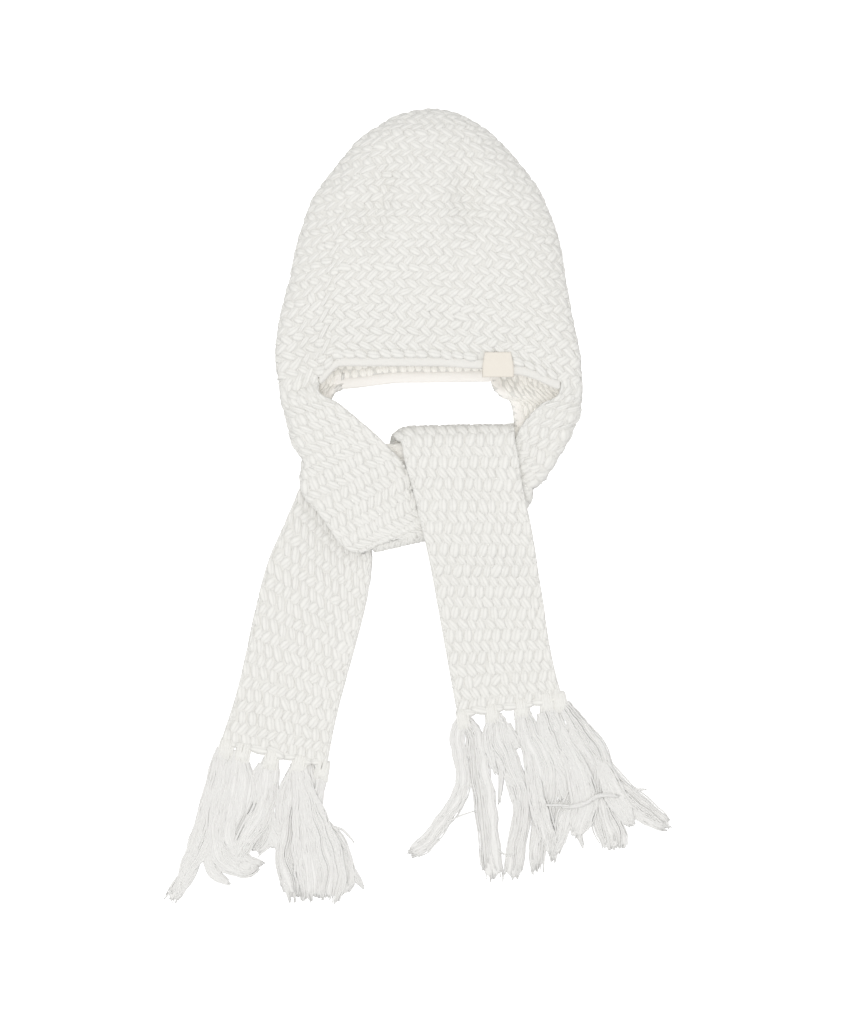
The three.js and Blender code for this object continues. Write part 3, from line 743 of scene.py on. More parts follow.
# %% [markdown]
# ## One stitch, laid many times
# In thick yarn each stitch shows as one plump bead of yarn whose ends dive under its neighbours. The
# bead is drawn once, with few faces, and an Array modifier repeats it as often as a face of the knit
# has stitches. Every copy is then turned, sized and moved onto the cloth, with small differences from
# its neighbours, as hand-sized yarn has.

# %% The stitch
def bead(sides, rings):
    """A stitch of unit size that lies along x, with both ends blunt."""
    bm = bmesh.new()
    bmesh.ops.create_uvsphere(bm, u_segments=sides, v_segments=rings, radius=1)
    bmesh.ops.rotate(bm, verts=bm.verts, cent=(0, 0, 0), matrix=Matrix.Rotation(math.pi / 2, 3, "Y"))
    for vertex in bm.verts:
        x, y, z = vertex.co
        square = (y**4 + z**4) ** 0.25 / max(1e-6, math.hypot(y, z))
        blunt = max(0.1, 1 - x**2) ** -0.06 / max(0.1, square)
        vertex.co.y *= blunt
        vertex.co.z *= blunt
    return mesh_of(bm, "bead")


def evaluated_mesh(thing):
    """What an object's modifiers or bevel make of it, as a mesh. The object itself is removed."""
    depsgraph = bpy.context.evaluated_depsgraph_get()
    mesh = bpy.data.meshes.new_from_object(thing.evaluated_get(depsgraph))
    bpy.data.objects.remove(thing)
    return mesh


def copies_of(mesh, count):
    """One mesh with count copies, made by an Array modifier, and its points copy by copy."""
    holder = put("row", mesh)
    array = holder.modifiers.new("copies", "ARRAY")
    array.use_relative_offset = False
    array.use_constant_offset = True
    array.constant_offset_displace = (0, 0, 0)
    array.count = count
    many = evaluated_mesh(holder)
    points = np.zeros(len(many.vertices) * 3)
    many.vertices.foreach_get("co", points)
    return many, points.reshape(count, -1, 3)


BEAD = bead(8, 6)
INNER_BEAD = bead(6, 4)  # for faces that are hardly seen
print("faces in a stitch:", len(BEAD.polygons))

# %% Stitches laid on cloth
DIVE = 0.6  # how far a stitch's ends sink, as a share of its height
SLIM = 0.12  # how much narrower its ends are
STITCH_CLEAR = 0.12  # mm, the least height of a stitch above the floor
# What each stitch differs by: its turn in degrees, its size as a share, its height and place in mm.
TURN_CHANCE, SIZE_CHANCE, LIFT_CHANCE, PLACE_CHANCE = 8, 0.07, 0.1, 0.45


def lay(name, cloth, spots, side, material, edge=None, stitch=BEAD):
    """Stitches on one side of a cloth. A spot is u, v, turn in degrees, long, wide, tall, lift in mm.
    Where an edge is given, no stitch stands out further than that beyond the sides of the cloth."""
    spots = np.array(spots, float)
    u, v, turn, long, wide, tall, lift = (spots[:, k, None] for k in range(7))
    many, unit_points = copies_of(stitch, len(spots))

    def by_chance(spread):
        return chance.normal(0, spread, (len(spots), 1))

    turn = np.radians(turn + by_chance(TURN_CHANCE))
    size = 1 + by_chance(SIZE_CHANCE)
    x, y, z = np.moveaxis(unit_points, -1, 0)
    along = x * long / 2 * size
    over = y * wide / 2 * size * (1 - SLIM * x**2)
    up = (z - DIVE * x**2) * tall / 2 * size + lift + by_chance(LIFT_CHANCE)
    flat_u = along * np.cos(turn) - over * np.sin(turn) + by_chance(PLACE_CHANCE)
    flat_v = along * np.sin(turn) + over * np.cos(turn) + by_chance(PLACE_CHANCE)
    wide_here = cloth.read(cloth.wide, u, v)
    across, down = u + flat_u / wide_here, v + flat_v / cloth.read(cloth.long, u, v)
    if edge is not None:
        across, down = np.clip(across, -edge / wide_here, 1 + edge / wide_here), np.clip(down, 0, 1)
    placed = cloth.at(across, down, side * up)
    placed[..., 2] = np.maximum(placed[..., 2], STITCH_CLEAR)
    many.vertices.foreach_set("co", (placed * MM).ravel())
    if side < 0:
        many.flip_normals()
    strand = many.attributes.new("strand", "FLOAT_VECTOR", "POINT")
    round_it = np.arctan2(unit_points[..., 2], unit_points[..., 1]) / (2 * math.pi)
    strand.data.foreach_set("vector", np.stack([along, round_it, np.abs(x)], -1).ravel())
    many.update()
    return finish_mesh(many, name, material)


# %% [markdown]
# ## The hat's stitches
# Round the hat the stitches stand in rows that lean to one side and to the other in turn, each row
# half a stitch on from the last. Near the top of the head the girth shrinks, so a row has fewer of
# them. Just above the front hem one row is larger and lies almost flat, like a braid. The inner face
# shows upright ribs. Loops of real yarn would interlock, but a bead for each loop looks the same and
# needs far fewer faces.

# %% Stitches of the hat
HAT_ROW = 7.4  # mm between rows
HAT_STITCH = 10.8  # mm between stitches of a row
HAT_LEAN = 37  # degrees
HAT_LONG, HAT_WIDE = 1.5, 0.76  # size of a stitch, as a share of the space that it has
NARROWEST = 9.2  # mm, the least width of a stitch
TALL = 3.3  # mm, height of a stitch
LIFT = 1.8  # height of a stitch's middle above the middle of the cloth
BRAID = {"lean": -20, "long": 1.35, "wide": 9.6, "tall": 5.2, "lift": LIFT + 0.4}
INSIDE_STITCH = 7.2  # mm between the ribs of the inner face
INSIDE_FROM = 0.45  # share of the way to the rim, above which nobody sees the inner face


def rim_u(degrees):
    """Where an angle of the rim lies round the hat's cloth, from 0 to 1."""
    run = run_along(wall_middle(ROUND))
    at = degrees if degrees >= ROUND[0] else degrees + 360
    return np.interp(at, ROUND, run / run[-1])


def stitch_counts(rows, full):
    """Stitches in each row: as many as below, until they get too narrow and the count drops."""
    counts = [full]
    for k in range(rows - 2, -1, -1):
        girth = hat.read(hat.wide, np.linspace(0, 1, 60), np.full(60, (k + 0.5) / rows)).mean()
        narrow = girth / counts[-1] < NARROWEST
        counts.append(max(5, round(girth / HAT_STITCH)) if narrow else counts[-1])
    return counts[::-1]


def stitches_round(between):
    """How many stitches so far apart go round the hat near its rim."""
    return round(hat.wide[-20].mean() / between)


def hat_spots():
    rows = round(hat.length / HAT_ROW)
    counts = stitch_counts(rows, stitches_round(HAT_STITCH))
    hem = [rim_u(angle) for angle in FRONT_HEM]
    tab = [rim_u(angle) for angle in LABEL]
    spots = []
    for k in range(rows):
        v = (k + 0.5) / rows
        lean = HAT_LEAN if k % 2 else -HAT_LEAN
        for j in range(counts[k]):
            u = (j + k % 2 * 0.5) / counts[k]
            pitch = float(hat.read(hat.wide, np.array(u), np.array(v))) / counts[k]
            if k == rows - 1 and tab[0] < u < tab[1]:
                continue
            if k == rows - 1 and hem[0] < u < hem[1]:
                long = BRAID["long"] * pitch
                spots.append((u, v, BRAID["lean"], long, BRAID["wide"], BRAID["tall"], BRAID["lift"]))
            else:
                spots.append((u, v, lean, HAT_LONG * pitch, HAT_WIDE * pitch, TALL, LIFT))
    return spots


def inside_spots():
    """The inner face of the knit, whose stitches stand upright in ribs."""
    rows = round(hat.length / HAT_ROW)
    count = stitches_round(INSIDE_STITCH)
    places = [(j, k) for k in range(round(rows * INSIDE_FROM), rows) for j in range(count)]
    return [((j + k % 2 * 0.5) / count, (k + 0.5) / rows, 90, 10.5, 8.2, 3.0, LIFT) for j, k in places]


hat_stitches = lay("hat_stitches", hat, hat_spots(), 1, YARN)
# The inner face is laid in the cream yarn with its painted glow.
hat_inside = lay("hat_inside_stitches", hat, inside_spots(), -1, CREAM_PAINTED_GLOW, stitch=INNER_BEAD)
print("hat stitches:", len(hat_stitches.data.vertices) // len(BEAD.vertices))

# %% [markdown]
# ## The arms' stitches
# On the arms the rows run across the strip and the stitches lie along it, a little narrower than on
# the hat. Both faces show somewhere in the knot, so both get them. Each edge is closed by one column of
# stitches laid round it, and each end by a row of loops that take up the tassels. Where one looks into
# the arms, at their mouths and in the shaded nook of the upper turn, the stitches get the cream yarn
# with its painted glow, which lightens their shade.

# %% Stitches of the arms
ARM_ROW = 10.1
ARM_COUNT = 11  # stitches across an arm
ARM_LEAN = 22
ARM_WIDE = 9.2
ARM_KINDS = ((90 - ARM_LEAN, 16.5, 0.1), (90 + ARM_LEAN, 15.0, -0.1))  # turn, length and lift in turn
EDGE_ROW = 5.4
EDGES = (0.008, 0.992)  # where across an arm the two columns of its edges lie
END_LOOPS = 7
PROUD = 1.0  # mm that a stitch may stand out beyond an arm's edges
MOUTH = 0.2  # share of an arm whose inner face is seen through the mouth
NOOK = (-32, -180, 8)  # where one looks into the upper turn from its side, in mm
NOOK_REACH = 17
NOOK_FACES = ("left_arm_inner_stitches", "right_arm_outer_stitches", "right_arm_edges")


def arm_spots(cloth):
    rows = round(cloth.length / ARM_ROW)
    spots = []
    for k in range(rows):
        lean, long, lift = ARM_KINDS[k % 2]
        for j in range(ARM_COUNT):
            u = (j + 0.3 + k % 2 * 0.45) / ARM_COUNT
            spots.append((u, (k + 0.5) / rows, lean, long, ARM_WIDE, TALL, LIFT + lift))
    return spots


def rib_spots(cloth):
    """The inner face of an arm, whose stitches stand upright in close ribs."""
    rows, ribs = round(cloth.length / ARM_ROW), 2 * ARM_COUNT
    places = [(j, k) for k in range(rows) for j in range(ribs)]
    return [((j + 0.5) / ribs, (k + 0.3 + j % 2 * 0.4) / rows, 90, 15, 5.4, 2.8, LIFT) for j, k in places]


def edge_spots(cloth):
    rows = round(cloth.length / EDGE_ROW)
    return [(edge, (k + 0.5) / rows, 90, 12.5, 5.2, 6.2, 0) for k in range(rows) for edge in EDGES]


def end_spots():
    """The last row of an arm, whose loops lie across and take up the tassels."""
    return [((k + 0.5) / END_LOOPS, 1.0, 0, 18.5, 8.6, 7.4, 0) for k in range(END_LOOPS)]


def in_nook(cloth, spot):
    place = cloth.at(np.array([spot[0]]), np.array([spot[1]]))[0]
    return np.linalg.norm(place - NOOK) < NOOK_REACH


def laid_by_place(name, cloth, spots, side, stitch):
    """Lay stitches in the outer yarn, or, where they sit in the nook, in the cream yarn whose painted glow
    lightens the shade there.
    """
    nook = [spot for spot in spots if name in NOOK_FACES and in_nook(cloth, spot)]
    plain = [spot for spot in spots if spot not in nook]
    lay(name, cloth, plain, side, YARN, edge=PROUD, stitch=stitch)
    if nook:
        name = f"{name}_nook"
        lay(name, cloth, nook, side, CREAM_PAINTED_GLOW, edge=PROUD, stitch=stitch)


for label, cloth, outer in (("left", left_arm, 1), ("right", right_arm, -1)):
    mouth = [spot for spot in rib_spots(cloth) if spot[1] < MOUTH]
    beyond = [spot for spot in arm_spots(cloth) if spot[1] >= MOUTH]
    laid_by_place(f"{label}_arm_outer_stitches", cloth, arm_spots(cloth), outer, BEAD)
    laid_by_place(f"{label}_arm_inner_stitches", cloth, beyond, -outer, INNER_BEAD)
    laid_by_place(f"{label}_arm_edges", cloth, edge_spots(cloth), 1, INNER_BEAD)
    name = f"{label}_arm_mouth_stitches"
    lay(name, cloth, mouth, -outer, CREAM_PAINTED_GLOW, edge=PROUD, stitch=INNER_BEAD)
    name = f"{label}_arm_end_loops"
    lay(name, cloth, end_spots(), -outer, YARN)

# %% [markdown]
# ## Rolled hems
# The front and the back of the rim are finished by a smooth rolled hem, a soft tube squashed a little,
# and a short one bounds the mouth of each arm. A hem is a grid bent round a rounded section and swept
# along the edge. Both ends are drawn to a point, so the tube is closed. A bevelled curve would be
# quicker, but its section could not be squashed and turned to face the way the cloth does.

# %% Hems
GAP = 0.3  # mm between a hem and the label
HEM_DROP = 9  # mm from top to bottom of the front hem
BACK_DROP = 10.5
MOUTH_DROP = 9
HEM_THICK = 6.6
MOUTH_THICK = 6
HEM_TUCK = 0.8  # mm that a hem reaches up over the edge of the knit
HEM_SIDES = 20  # facets round a hem
FULLNESS = 0.75  # exponent of its section: 1 would be an ellipse
MOUTH_REACH = {"left": 0.06, "right": 0.125}  # share of the arm along which the hem runs


def rolled(name, steps, frame_at, wide, thick, material, replaced=()):
    """A squashed tube. frame_at(u) gives its middle, the way of its width and the way it faces."""

    def shape(u, v):
        draw = np.clip(np.minimum(u, 1 - u) * steps / 2.5, 0, 1)
        draw = np.sqrt(1 - (1 - draw) ** 2)
        turn = 2 * math.pi * v
        aside = fuller(np.sin(turn), FULLNESS) * wide / 2 * draw
        out = fuller(np.cos(turn), FULLNESS) * thick / 2 * draw
        middle, sideways, face = frame_at(u)
        middle[:, 2] = np.maximum(middle[:, 2], thick / 2)
        return middle + sideways * aside[:, None] + face * out[:, None]

    return finish_piece(bent_grid(steps, HEM_SIDES, shape), name, material, replaced)


def rim_frame(span, wide):
    def frame_at(u):
        degrees = span[0] + (span[1] - span[0]) * u
        middle = wall_middle(degrees)
        middle[:, 1] -= wide / 2 - HEM_TUCK
        return middle, np.array([[0.0, -1.0, 0.0]]), rim_normal(degrees)

    return frame_at


def mouth_frame(cloth, reach, face):
    """Along the edge of an arm's lower layer, where it bounds the mouth."""

    def frame_at(u):
        v = 0.002 + (reach - 0.002) * u
        edge = 1 - (MOUTH_DROP / 2 - 1) / cloth.read(cloth.wide, 1 + 0 * u, v)
        middle = cloth.at(edge, v)
        sideways = unit(cloth.at(1 + 0 * u, v) - middle)
        return middle, sideways, unit(cloth.read(cloth.normals, edge, v)) * face

    return frame_at


front_frame, back_frame = rim_frame(FRONT_HEM, HEM_DROP), rim_frame(BACK_HEM, BACK_DROP)
front_hem = rolled("front_hem", 141, front_frame, HEM_DROP, HEM_THICK, HEM, ["front_rim_band"])
# The back hem and the mouths' hems lie in shade inside the hat, so their yarn has a painted glow.
back_hem = rolled("back_hem", 78, back_frame, BACK_DROP, HEM_THICK, HEM_INSIDE_PAINTED_GLOW, ["back_rim_band"])
for label, cloth, face in (("left", left_arm, -1), ("right", right_arm, 1)):
    along_mouth = mouth_frame(cloth, MOUTH_REACH[label], face)
    rolled(f"{label}_mouth_hem", 30, along_mouth, MOUTH_DROP, MOUTH_THICK, HEM_INSIDE_PAINTED_GLOW)

# %% [markdown]
# ## The label
# A small cloth tab is folded round the front hem. It is a strip with a path: down the front, round
# the hem's edge and up inside. It stays bare. Its weave is two sets of fine waves, one across the
# other, which is enough for threads that are hardly seen at this size.

# %% Label
LABEL_RISE = 12
LABEL_X, LABEL_Y = 59, -104.4  # its middle, on the rim
LABEL_THICK = 0.7
LABEL_TAPER = 0.16  # how much narrower its upper end is
LABEL_SHADE, LABEL_LIGHT = (0.85, 0.80, 0.715), (0.88, 0.83, 0.755)
WEAVE = 420.0  # scale of the waves, which gives a thread every 0.75 mm


def label_material():
    material, tree, shader = new_material("label_cloth", {"Roughness": 0.8})
    place = add(tree, "ShaderNodeTexCoord").outputs["Object"]
    look = {"Scale": WEAVE, "Distortion": 0.4, "Vector": place}
    warp = add(tree, "ShaderNodeTexWave", bands_direction="X", **look)
    weft = add(tree, "ShaderNodeTexWave", bands_direction="Y", **look)
    weave = math_node(tree, "MULTIPLY", warp.outputs["Fac"], weft.outputs["Fac"])
    join(tree, bump(tree, weave, 0.0003, 0.5), shader.inputs["Normal"])
    join(tree, blend_colours(tree, weave, LABEL_SHADE, LABEL_LIGHT), shader.inputs["Base Color"])
    return material


def label_shape(u, v):
    out = HEM_THICK / 2 + GAP + LABEL_THICK / 2
    lip = GAP + HEM_DROP + GAP + LABEL_THICK / 2
    front = [(-LABEL_RISE, out + 0.6), (-LABEL_RISE / 2, out + 0.4), (0, out), (lip - 1.4, out)]
    turn = [(lip - 0.4, out - 0.5), (lip, out - 1.4), (lip, 1.4 - out), (lip - 0.4, 0.5 - out)]
    path = np.array(front + turn + [(lip - 1.4, -out), (0, -out)])
    degrees = LABEL[0] + (LABEL[1] - LABEL[0]) * u
    drop, away = np.moveaxis(through(path, v * (len(path) - 1)), -1, 0)
    rim, above = rim_face(degrees), rim_face(degrees, 1)
    points = wall_middle(degrees) + rim_normal(degrees) * away[:, None]
    below = points[:, 1] - (LABEL_Y - drop)
    points[:, 1] -= below
    points[:, 2] += np.maximum(0, -below) * (above[:, 2] - rim[:, 2]) / (above[:, 1] - rim[:, 1])
    taper = 1 - LABEL_TAPER * np.clip(-drop / LABEL_RISE, 0, 1)
    points[:, 0] = LABEL_X + (points[:, 0] - LABEL_X) * taper
    return points


label_grid = bent_grid(16, 40, label_shape)
label_tab = finish_piece(label_grid, "label_tab", label_material(), ["label"])
thicken(label_tab, LABEL_THICK)
print("label faces:", len(label_tab.data.polygons))

# %% [markdown]
# ## Tassels
# Each end row carries five tassels. A tassel is a bundle of thin strands drawn through the edge of the
# knit and knotted there. Below the knot the strands fan out in locks, and inside a lock they gather in
# wisps that wander a little and end raggedly. Each strand is one spline of a curve with a bevel, placed
# by its wisp, and the curve is made a mesh at the end. A soft body inside each lock closes the gaps
# between its strands. Hair particles could do it too, but they would leave no mesh.

# %% Locks of the tassels
# Each tassel's locks, and last the loose wisps that lie between and over them: thickness in mm, and
# rows along the middle of x, y, z and width.
LOCKS = {
    "left_1": [
        (6, [(-187, -448, 5, 9), (-190, -463, 3, 14), (-196, -490, 3, 17), (-202, -509, 3, 14),
         (-208, -529, 3, 14), (-211, -543, 3, 14), (-218, -562, 3, 12), (-227, -575, 2.6, 13),
         (-235, -588, 2.2, 11)]),
        (3, [(-179, -456, 3, 4.5), (-183, -470, 3, 9.9), (-186, -486, 4, 12.6), (-191, -502, 4, 13.5),
         (-195, -518, 3, 9)]),
        (3, [(-195, -477, 3, 4.5), (-199, -498, 4.6, 12.6), (-203, -520, 5, 19.8), (-209, -538, 5, 19.8),
         (-217, -553, 5, 13.5), (-224, -567, 4.4, 9), (-232, -579, 3, 5.4)]),
    ],
    "left_2": [
        (6, [(-173, -450, 5, 9), (-171, -463, 3, 18), (-171, -477, 3, 26), (-173, -495, 3, 28),
         (-177, -513, 3, 24), (-182, -529, 3, 23), (-179, -545, 3, 23), (-168, -555, 3, 22),
         (-153, -553, 2.2, 9)]),
        (3, [(-180, -486, 3, 9), (-181, -506, 5, 14.4), (-184, -526, 5, 16.2), (-177, -542, 5, 14.4),
         (-164, -550, 4, 10.8), (-148, -554, 3, 3.6)]),
        (3, [(-190, -495, 4, 9), (-194, -518, 5, 13.5), (-193, -540, 5, 14.4), (-184, -554, 4.4, 12.6),
         (-163, -564, 3, 4.5)]),
        (3, [(-197, -508, 4, 8.1), (-201, -531, 4, 10.8), (-199, -551, 4, 11.7), (-192, -563, 3.6, 9.9),
         (-179, -572, 3, 4.5)]),
    ],
    "left_3": [
        (5.4, [(-143, -455, 5, 9), (-144, -466, 3, 18), (-146, -482, 3, 22), (-147, -495, 3, 19),
         (-151, -508, 5.4, 20), (-160, -523, 8, 19), (-168, -536, 6, 16), (-172, -547, 4, 13),
         (-172, -556, 3, 9)]),
        (3, [(-151, -508, 3, 7.2), (-147, -518, 4, 15.3), (-142, -529, 4, 16.2), (-138, -539, 3, 8.1)]),
        (3, [(-151, -463, 3, 8.1), (-155, -475, 3, 12.6), (-157, -489, 3, 12.6), (-155, -502, 3, 10.8)]),
        (4, [(-146, -495, 3, 5.4), (-148, -506, 4, 14.4), (-150, -518, 4, 24.3), (-156, -529, 4, 28.8),
         (-163, -542, 3, 18)]),
    ],
    "left_4": [
        (6, [(-120, -461, 5, 9), (-120, -471, 3, 18), (-120, -482, 3, 22), (-121, -495, 3, 23),
         (-124, -513, 3, 22), (-127, -531, 3, 22), (-128, -547, 3, 24), (-122, -565, 3, 30),
         (-118, -586, 2.2, 23)]),
        (3, [(-109, -462, 3, 8.1), (-108, -473, 4, 9.9), (-106, -488, 4, 9.9), (-105, -500, 3, 7.2)]),
        (3, [(-127, -470, 4, 4.5), (-130, -481, 4, 8.1), (-133, -492, 4, 9.9), (-134, -506, 4, 9),
         (-134, -520, 3, 7.2), (-132, -533, 3, 5.4)]),
        (3, [(-133, -506, 3, 5.4), (-136, -515, 3, 8.1), (-139, -527, 3, 7.2)]),
        (3, [(-118, -466, 6, 10.8), (-114, -486, 7, 18), (-109, -511, 7.4, 30.6), (-104, -536, 7.4, 41.4),
         (-99, -562, 7.4, 45), (-100, -587, 5, 34.2)]),
    ],
    "left_5": [
        (6, [(-97, -467, 5, 9), (-99, -476, 3, 13), (-101, -490, 3, 11), (-102, -506, 3, 11),
         (-98, -522, 3, 25), (-93, -536, 3, 36), (-88, -551, 3, 39), (-86, -567, 3, 38),
         (-90, -582, 2.2, 22)]),
        (3, [(-101, -509, 3, 4), (-90, -518, 2, 4), (-79, -522, 2, 4), (-72, -529, 2, 4),
         (-68, -535, 2, 3)]),
        (4, [(-78, -547, 3, 8), (-68, -563, 2.2, 7), (-60, -575, 2, 4)]),
    ],
    "right_1": [
        (6, [(31, -420, 5, 11), (25, -435, 3, 15), (26, -452, 3, 14), (30, -470, 3, 13), (28, -486, 3, 14),
         (22, -500, 3, 14), (12, -513, 3, 14), (4, -525, 3, 14), (-7, -536, 3, 16), (-22, -545, 2.2, 9)]),
        (6, [(32, -423, 4, 11), (40, -436, 3, 14), (43, -452, 3, 15), (45, -470, 3, 18), (49, -488, 3, 18),
         (51, -506, 3, 19), (53, -526, 3, 17), (55, -549, 3, 18), (58, -570, 2.2, 16)]),
        (1.8, [(14, -516, 4, 2.7), (29, -509, 6, 2.7), (41, -505, 7, 2.7)]),
    ],
    "right_2": [
        (6, [(58, -419, 5, 13), (61, -429, 3, 21), (64, -443, 3, 24), (70, -457, 3, 20), (76, -472, 3, 18),
         (82, -490, 3, 18), (84, -506, 3, 16), (81, -524, 3, 16), (78, -540, 3, 16), (76, -556, 3, 16),
         (74, -568, 2.2, 12)]),
        (4, [(57, -436, 3, 9), (60, -454, 2.6, 7), (64, -468, 2.4, 6), (64, -482, 2.2, 5),
         (62, -500, 2, 4)]),
        (3, [(55, -423, 5, 5.4), (52, -434, 5, 9), (52, -446, 5, 9.9), (56, -459, 4, 7.2),
         (60, -473, 3, 4.5)]),
        (1.8, [(61, -540, 4, 2.7), (69, -545, 4, 2.7), (77, -544, 6, 2.7)]),
    ],
    "right_3": [
        (6, [(83, -415, 5, 13), (86, -425, 3, 18), (90, -439, 3, 22), (98, -454, 3, 25), (103, -470, 3, 26),
         (105, -488, 3, 22), (103, -506, 3, 16), (99, -524, 3, 16), (97, -542, 3, 14),
         (97, -562, 2.2, 11)]),
        (3, [(69, -427, 3, 7.2), (74, -439, 4, 9.9), (79, -450, 4, 8.1)]),
        (3, [(113, -471, 3, 4.5), (117, -482, 4, 10.8), (120, -495, 4, 9)]),
        (3, [(86, -425, 3, 3.6), (88, -443, 3, 9), (92, -464, 4, 12.6), (95, -483, 5.6, 13.5),
         (100, -506, 7, 15.3), (106, -526, 6, 14.4), (111, -547, 4, 10.8)]),
    ],
    "right_4": [
        (6, [(106, -410, 5, 13), (112, -425, 3, 16), (118, -439, 3, 18), (126, -454, 3, 19),
         (130, -470, 3, 21), (132, -488, 3, 22), (122, -506, 3, 19), (117, -524, 3, 16), (112, -540, 3, 11),
         (110, -553, 2.2, 7)]),
        (4, [(122, -500, 3, 9), (131, -517, 2.4, 8), (138, -538, 2, 4)]),
        (4, [(119, -501, 6, 5), (129, -501, 8, 5), (140, -498, 9.6, 5), (153, -491, 9.6, 5),
         (173, -492, 9.4, 4)]),
        (3, [(100, -417, 4, 7.2), (104, -435, 4, 14.4), (112, -454, 4, 15.3), (122, -472, 4, 13.5),
         (126, -490, 4, 9)]),
        (3, [(117, -436, 3, 4.5), (125, -452, 5, 13.5), (133, -470, 7, 18), (138, -489, 7.4, 21.6),
         (138, -504, 6, 21.6), (134, -518, 4, 18), (131, -531, 3, 7.2)]),
        (1.8, [(104, -500, 8, 2.7), (113, -500, 10, 2.7), (126, -500, 11, 2.7)]),
    ],
    "right_5": [
        (6, [(120, -409, 5, 11), (131, -425, 3, 16), (140, -439, 3, 22), (150, -454, 3, 23),
         (156, -470, 3, 23), (170, -486, 3, 23), (183, -497, 3, 22), (195, -506, 3, 20), (208, -515, 3, 15),
         (217, -521, 2.2, 7)]),
        (6, [(154, -464, 3, 18), (153, -482, 3, 15), (156, -500, 3, 21), (160, -515, 3, 26),
         (165, -529, 3, 27), (167, -540, 2.2, 21)]),
        (3, [(169, -482, 3, 5), (182, -486, 2, 3), (196, -486, 2, 3)]),
        (3, [(126, -423, 4, 7.2), (134, -444, 3, 12.6), (145, -464, 3, 13.5), (153, -486, 3, 12.6)]),
        (3, [(150, -452, 3, 4.5), (158, -470, 6, 12.6), (166, -489, 7, 18.9), (176, -506, 5, 16.2),
         (184, -519, 3, 8.1)]),
    ],
}
# Each tassel's knot: its middle, and the two ends of the row that it sits on.
KNOTS = {
    "left": [(-184, -449), (-169, -453), (-143, -459), (-118, -464), (-97, -469)],
    "right": [(29, -423), (56, -418), (83, -413), (106, -408), (118, -407)],
}
END_ROWS = {"left": ((-187.7, -442.8), (-93.6, -463.5)), "right": ((25.2, -417.6), (118.8, -404.1))}
print("locks:", sum(len(locks) for locks in LOCKS.values()))


# %% Strands of a lock
STRAND = 1.5  # mm, thickness of a strand
STEPS = 30  # points along a strand, closer near its knot
WISP_WIDE = 3.0  # mm of a lock's width for each of its wisps
LAYERS = ((0.2, 4), (0.8, 5))  # height in the lock and strands in a wisp, layer by layer
STRANDS_END, CORE_END = 0.9, 1.12  # where they end: rows of the path, less this
CORE_SHARE = 0.42  # half of a core's thickness, as a share of the lock's
CORE_LEAST = 2  # mm: thinner locks have no core


def square_to(ways):
    """Level directions square to the given ones."""
    return unit(np.stack([-ways[:, 1], ways[:, 0], 0 * ways[:, 0]], -1))


def wisp(line, wide, thick, start, level, many):
    """Strands of one wisp of a lock: they start side by side, wander together and draw to a tip."""
    run = np.linalg.norm(np.diff(line, axis=0), axis=1).sum()
    count = np.arange(len(line))
    drift, spread = chance.normal(0, 0.07), chance.uniform(1.1, 1.9)
    wave, phase, turns = chance.uniform(0.3, 1.0), chance.uniform(0, 6.3), run / chance.uniform(3.4, 5.5)
    short, splay = chance.uniform(0, 0.1) * run, chance.normal(0, 1.6)
    strands = []
    for _ in range(many):
        own, height = chance.normal(0, spread), chance.normal(0, 0.25)
        less = short + 1.4 * (own / spread) ** 2 + abs(chance.normal(0, 0.6))
        t = np.linspace(0, 1, STEPS) ** 1.4 * (1 - less / run)
        index = t * (len(line) - 1)
        middle = np.stack([np.interp(index, count, line[:, k]) for k in range(3)], -1)
        half = np.maximum(np.interp(index, count, wide) / 2 - 0.8, 0.6)
        share = np.clip(start + drift * t, -1, 1)
        wander = own * (0.75 + 0.5 * t - 0.5 * t**4)
        wander += wave * np.sin(turns * t + phase) * np.minimum(t * 5, 1)
        wander += 0.5 * np.sin(run * t / 1.3 + phase) * np.exp(-4 * t)
        wander += (splay + chance.normal(0, 0.5)) * np.clip((t - 0.7) / 0.3, 0, 1) ** 2
        limit = half * 1.15 + 0.6
        aside = np.clip(share * half + wander * np.minimum(half / 5, 1), -limit, limit)
        points = middle + square_to(unit(np.gradient(middle, axis=0))) * aside[:, None]
        rise = (level + height) * thick * 0.4 * np.sqrt(np.clip(1.15 - (aside / half) ** 2, 0.1, 1))
        points[:, 2] = np.maximum(points[:, 2] + rise, STRAND / 2 + 0.1)
        strands.append(points)
    return strands


def lock_strands(thick, path):
    """Strands of one lock, in mm: two layers of wisps side by side."""
    rows = through(path, np.linspace(0, len(path) - STRANDS_END, 80))
    count = max(1, round(rows[:, 3].max() / WISP_WIDE))
    strands = []
    for level, many in LAYERS:
        for k in range(count):
            start = -1 + 2 * (k + chance.uniform(0.3, 0.7)) / count
            strands += wisp(rows[:, :3], rows[:, 3], thick, start, level, many)
    return strands


def lock_core(thick, path):
    """The inside of a lock as one soft flat body, closed at both ends."""

    def shape(u, v):
        rows = through(path, u * (len(path) - CORE_END))
        ahead = through(path, u * (len(path) - CORE_END) + 0.03)[:, :3] - rows[:, :3]
        draw = np.sqrt(1 - (1 - np.clip(np.minimum(u * 8, (1 - u) * 18), 0, 1)) ** 2)
        half = np.maximum(rows[:, 3] / 2 - 1, 0.3) * draw
        points = rows[:, :3] + square_to(ahead) * (half * np.cos(2 * math.pi * v))[:, None]
        points[:, 2] += thick * CORE_SHARE * draw * np.sin(2 * math.pi * v)
        return points

    return bent_grid(24, 16, shape)


print("strands in a wisp, by layer:", [many for _, many in LAYERS])

# %% [markdown]
# ## Knots
# Where a tassel hangs, its strands are doubled over the edge of the knit and pulled tight. One sees a
# small lump of yarns side by side that curl over the edge. They are drawn as thick round strands over a
# soft lump, on a path that climbs over the last row of loops and goes down again on its upper side.

# %% Knots
KNOT_YARN = 3.0  # mm, thickness of a yarn
KNOT_HALF = 6.4  # mm, half the width of a knot that has all its room
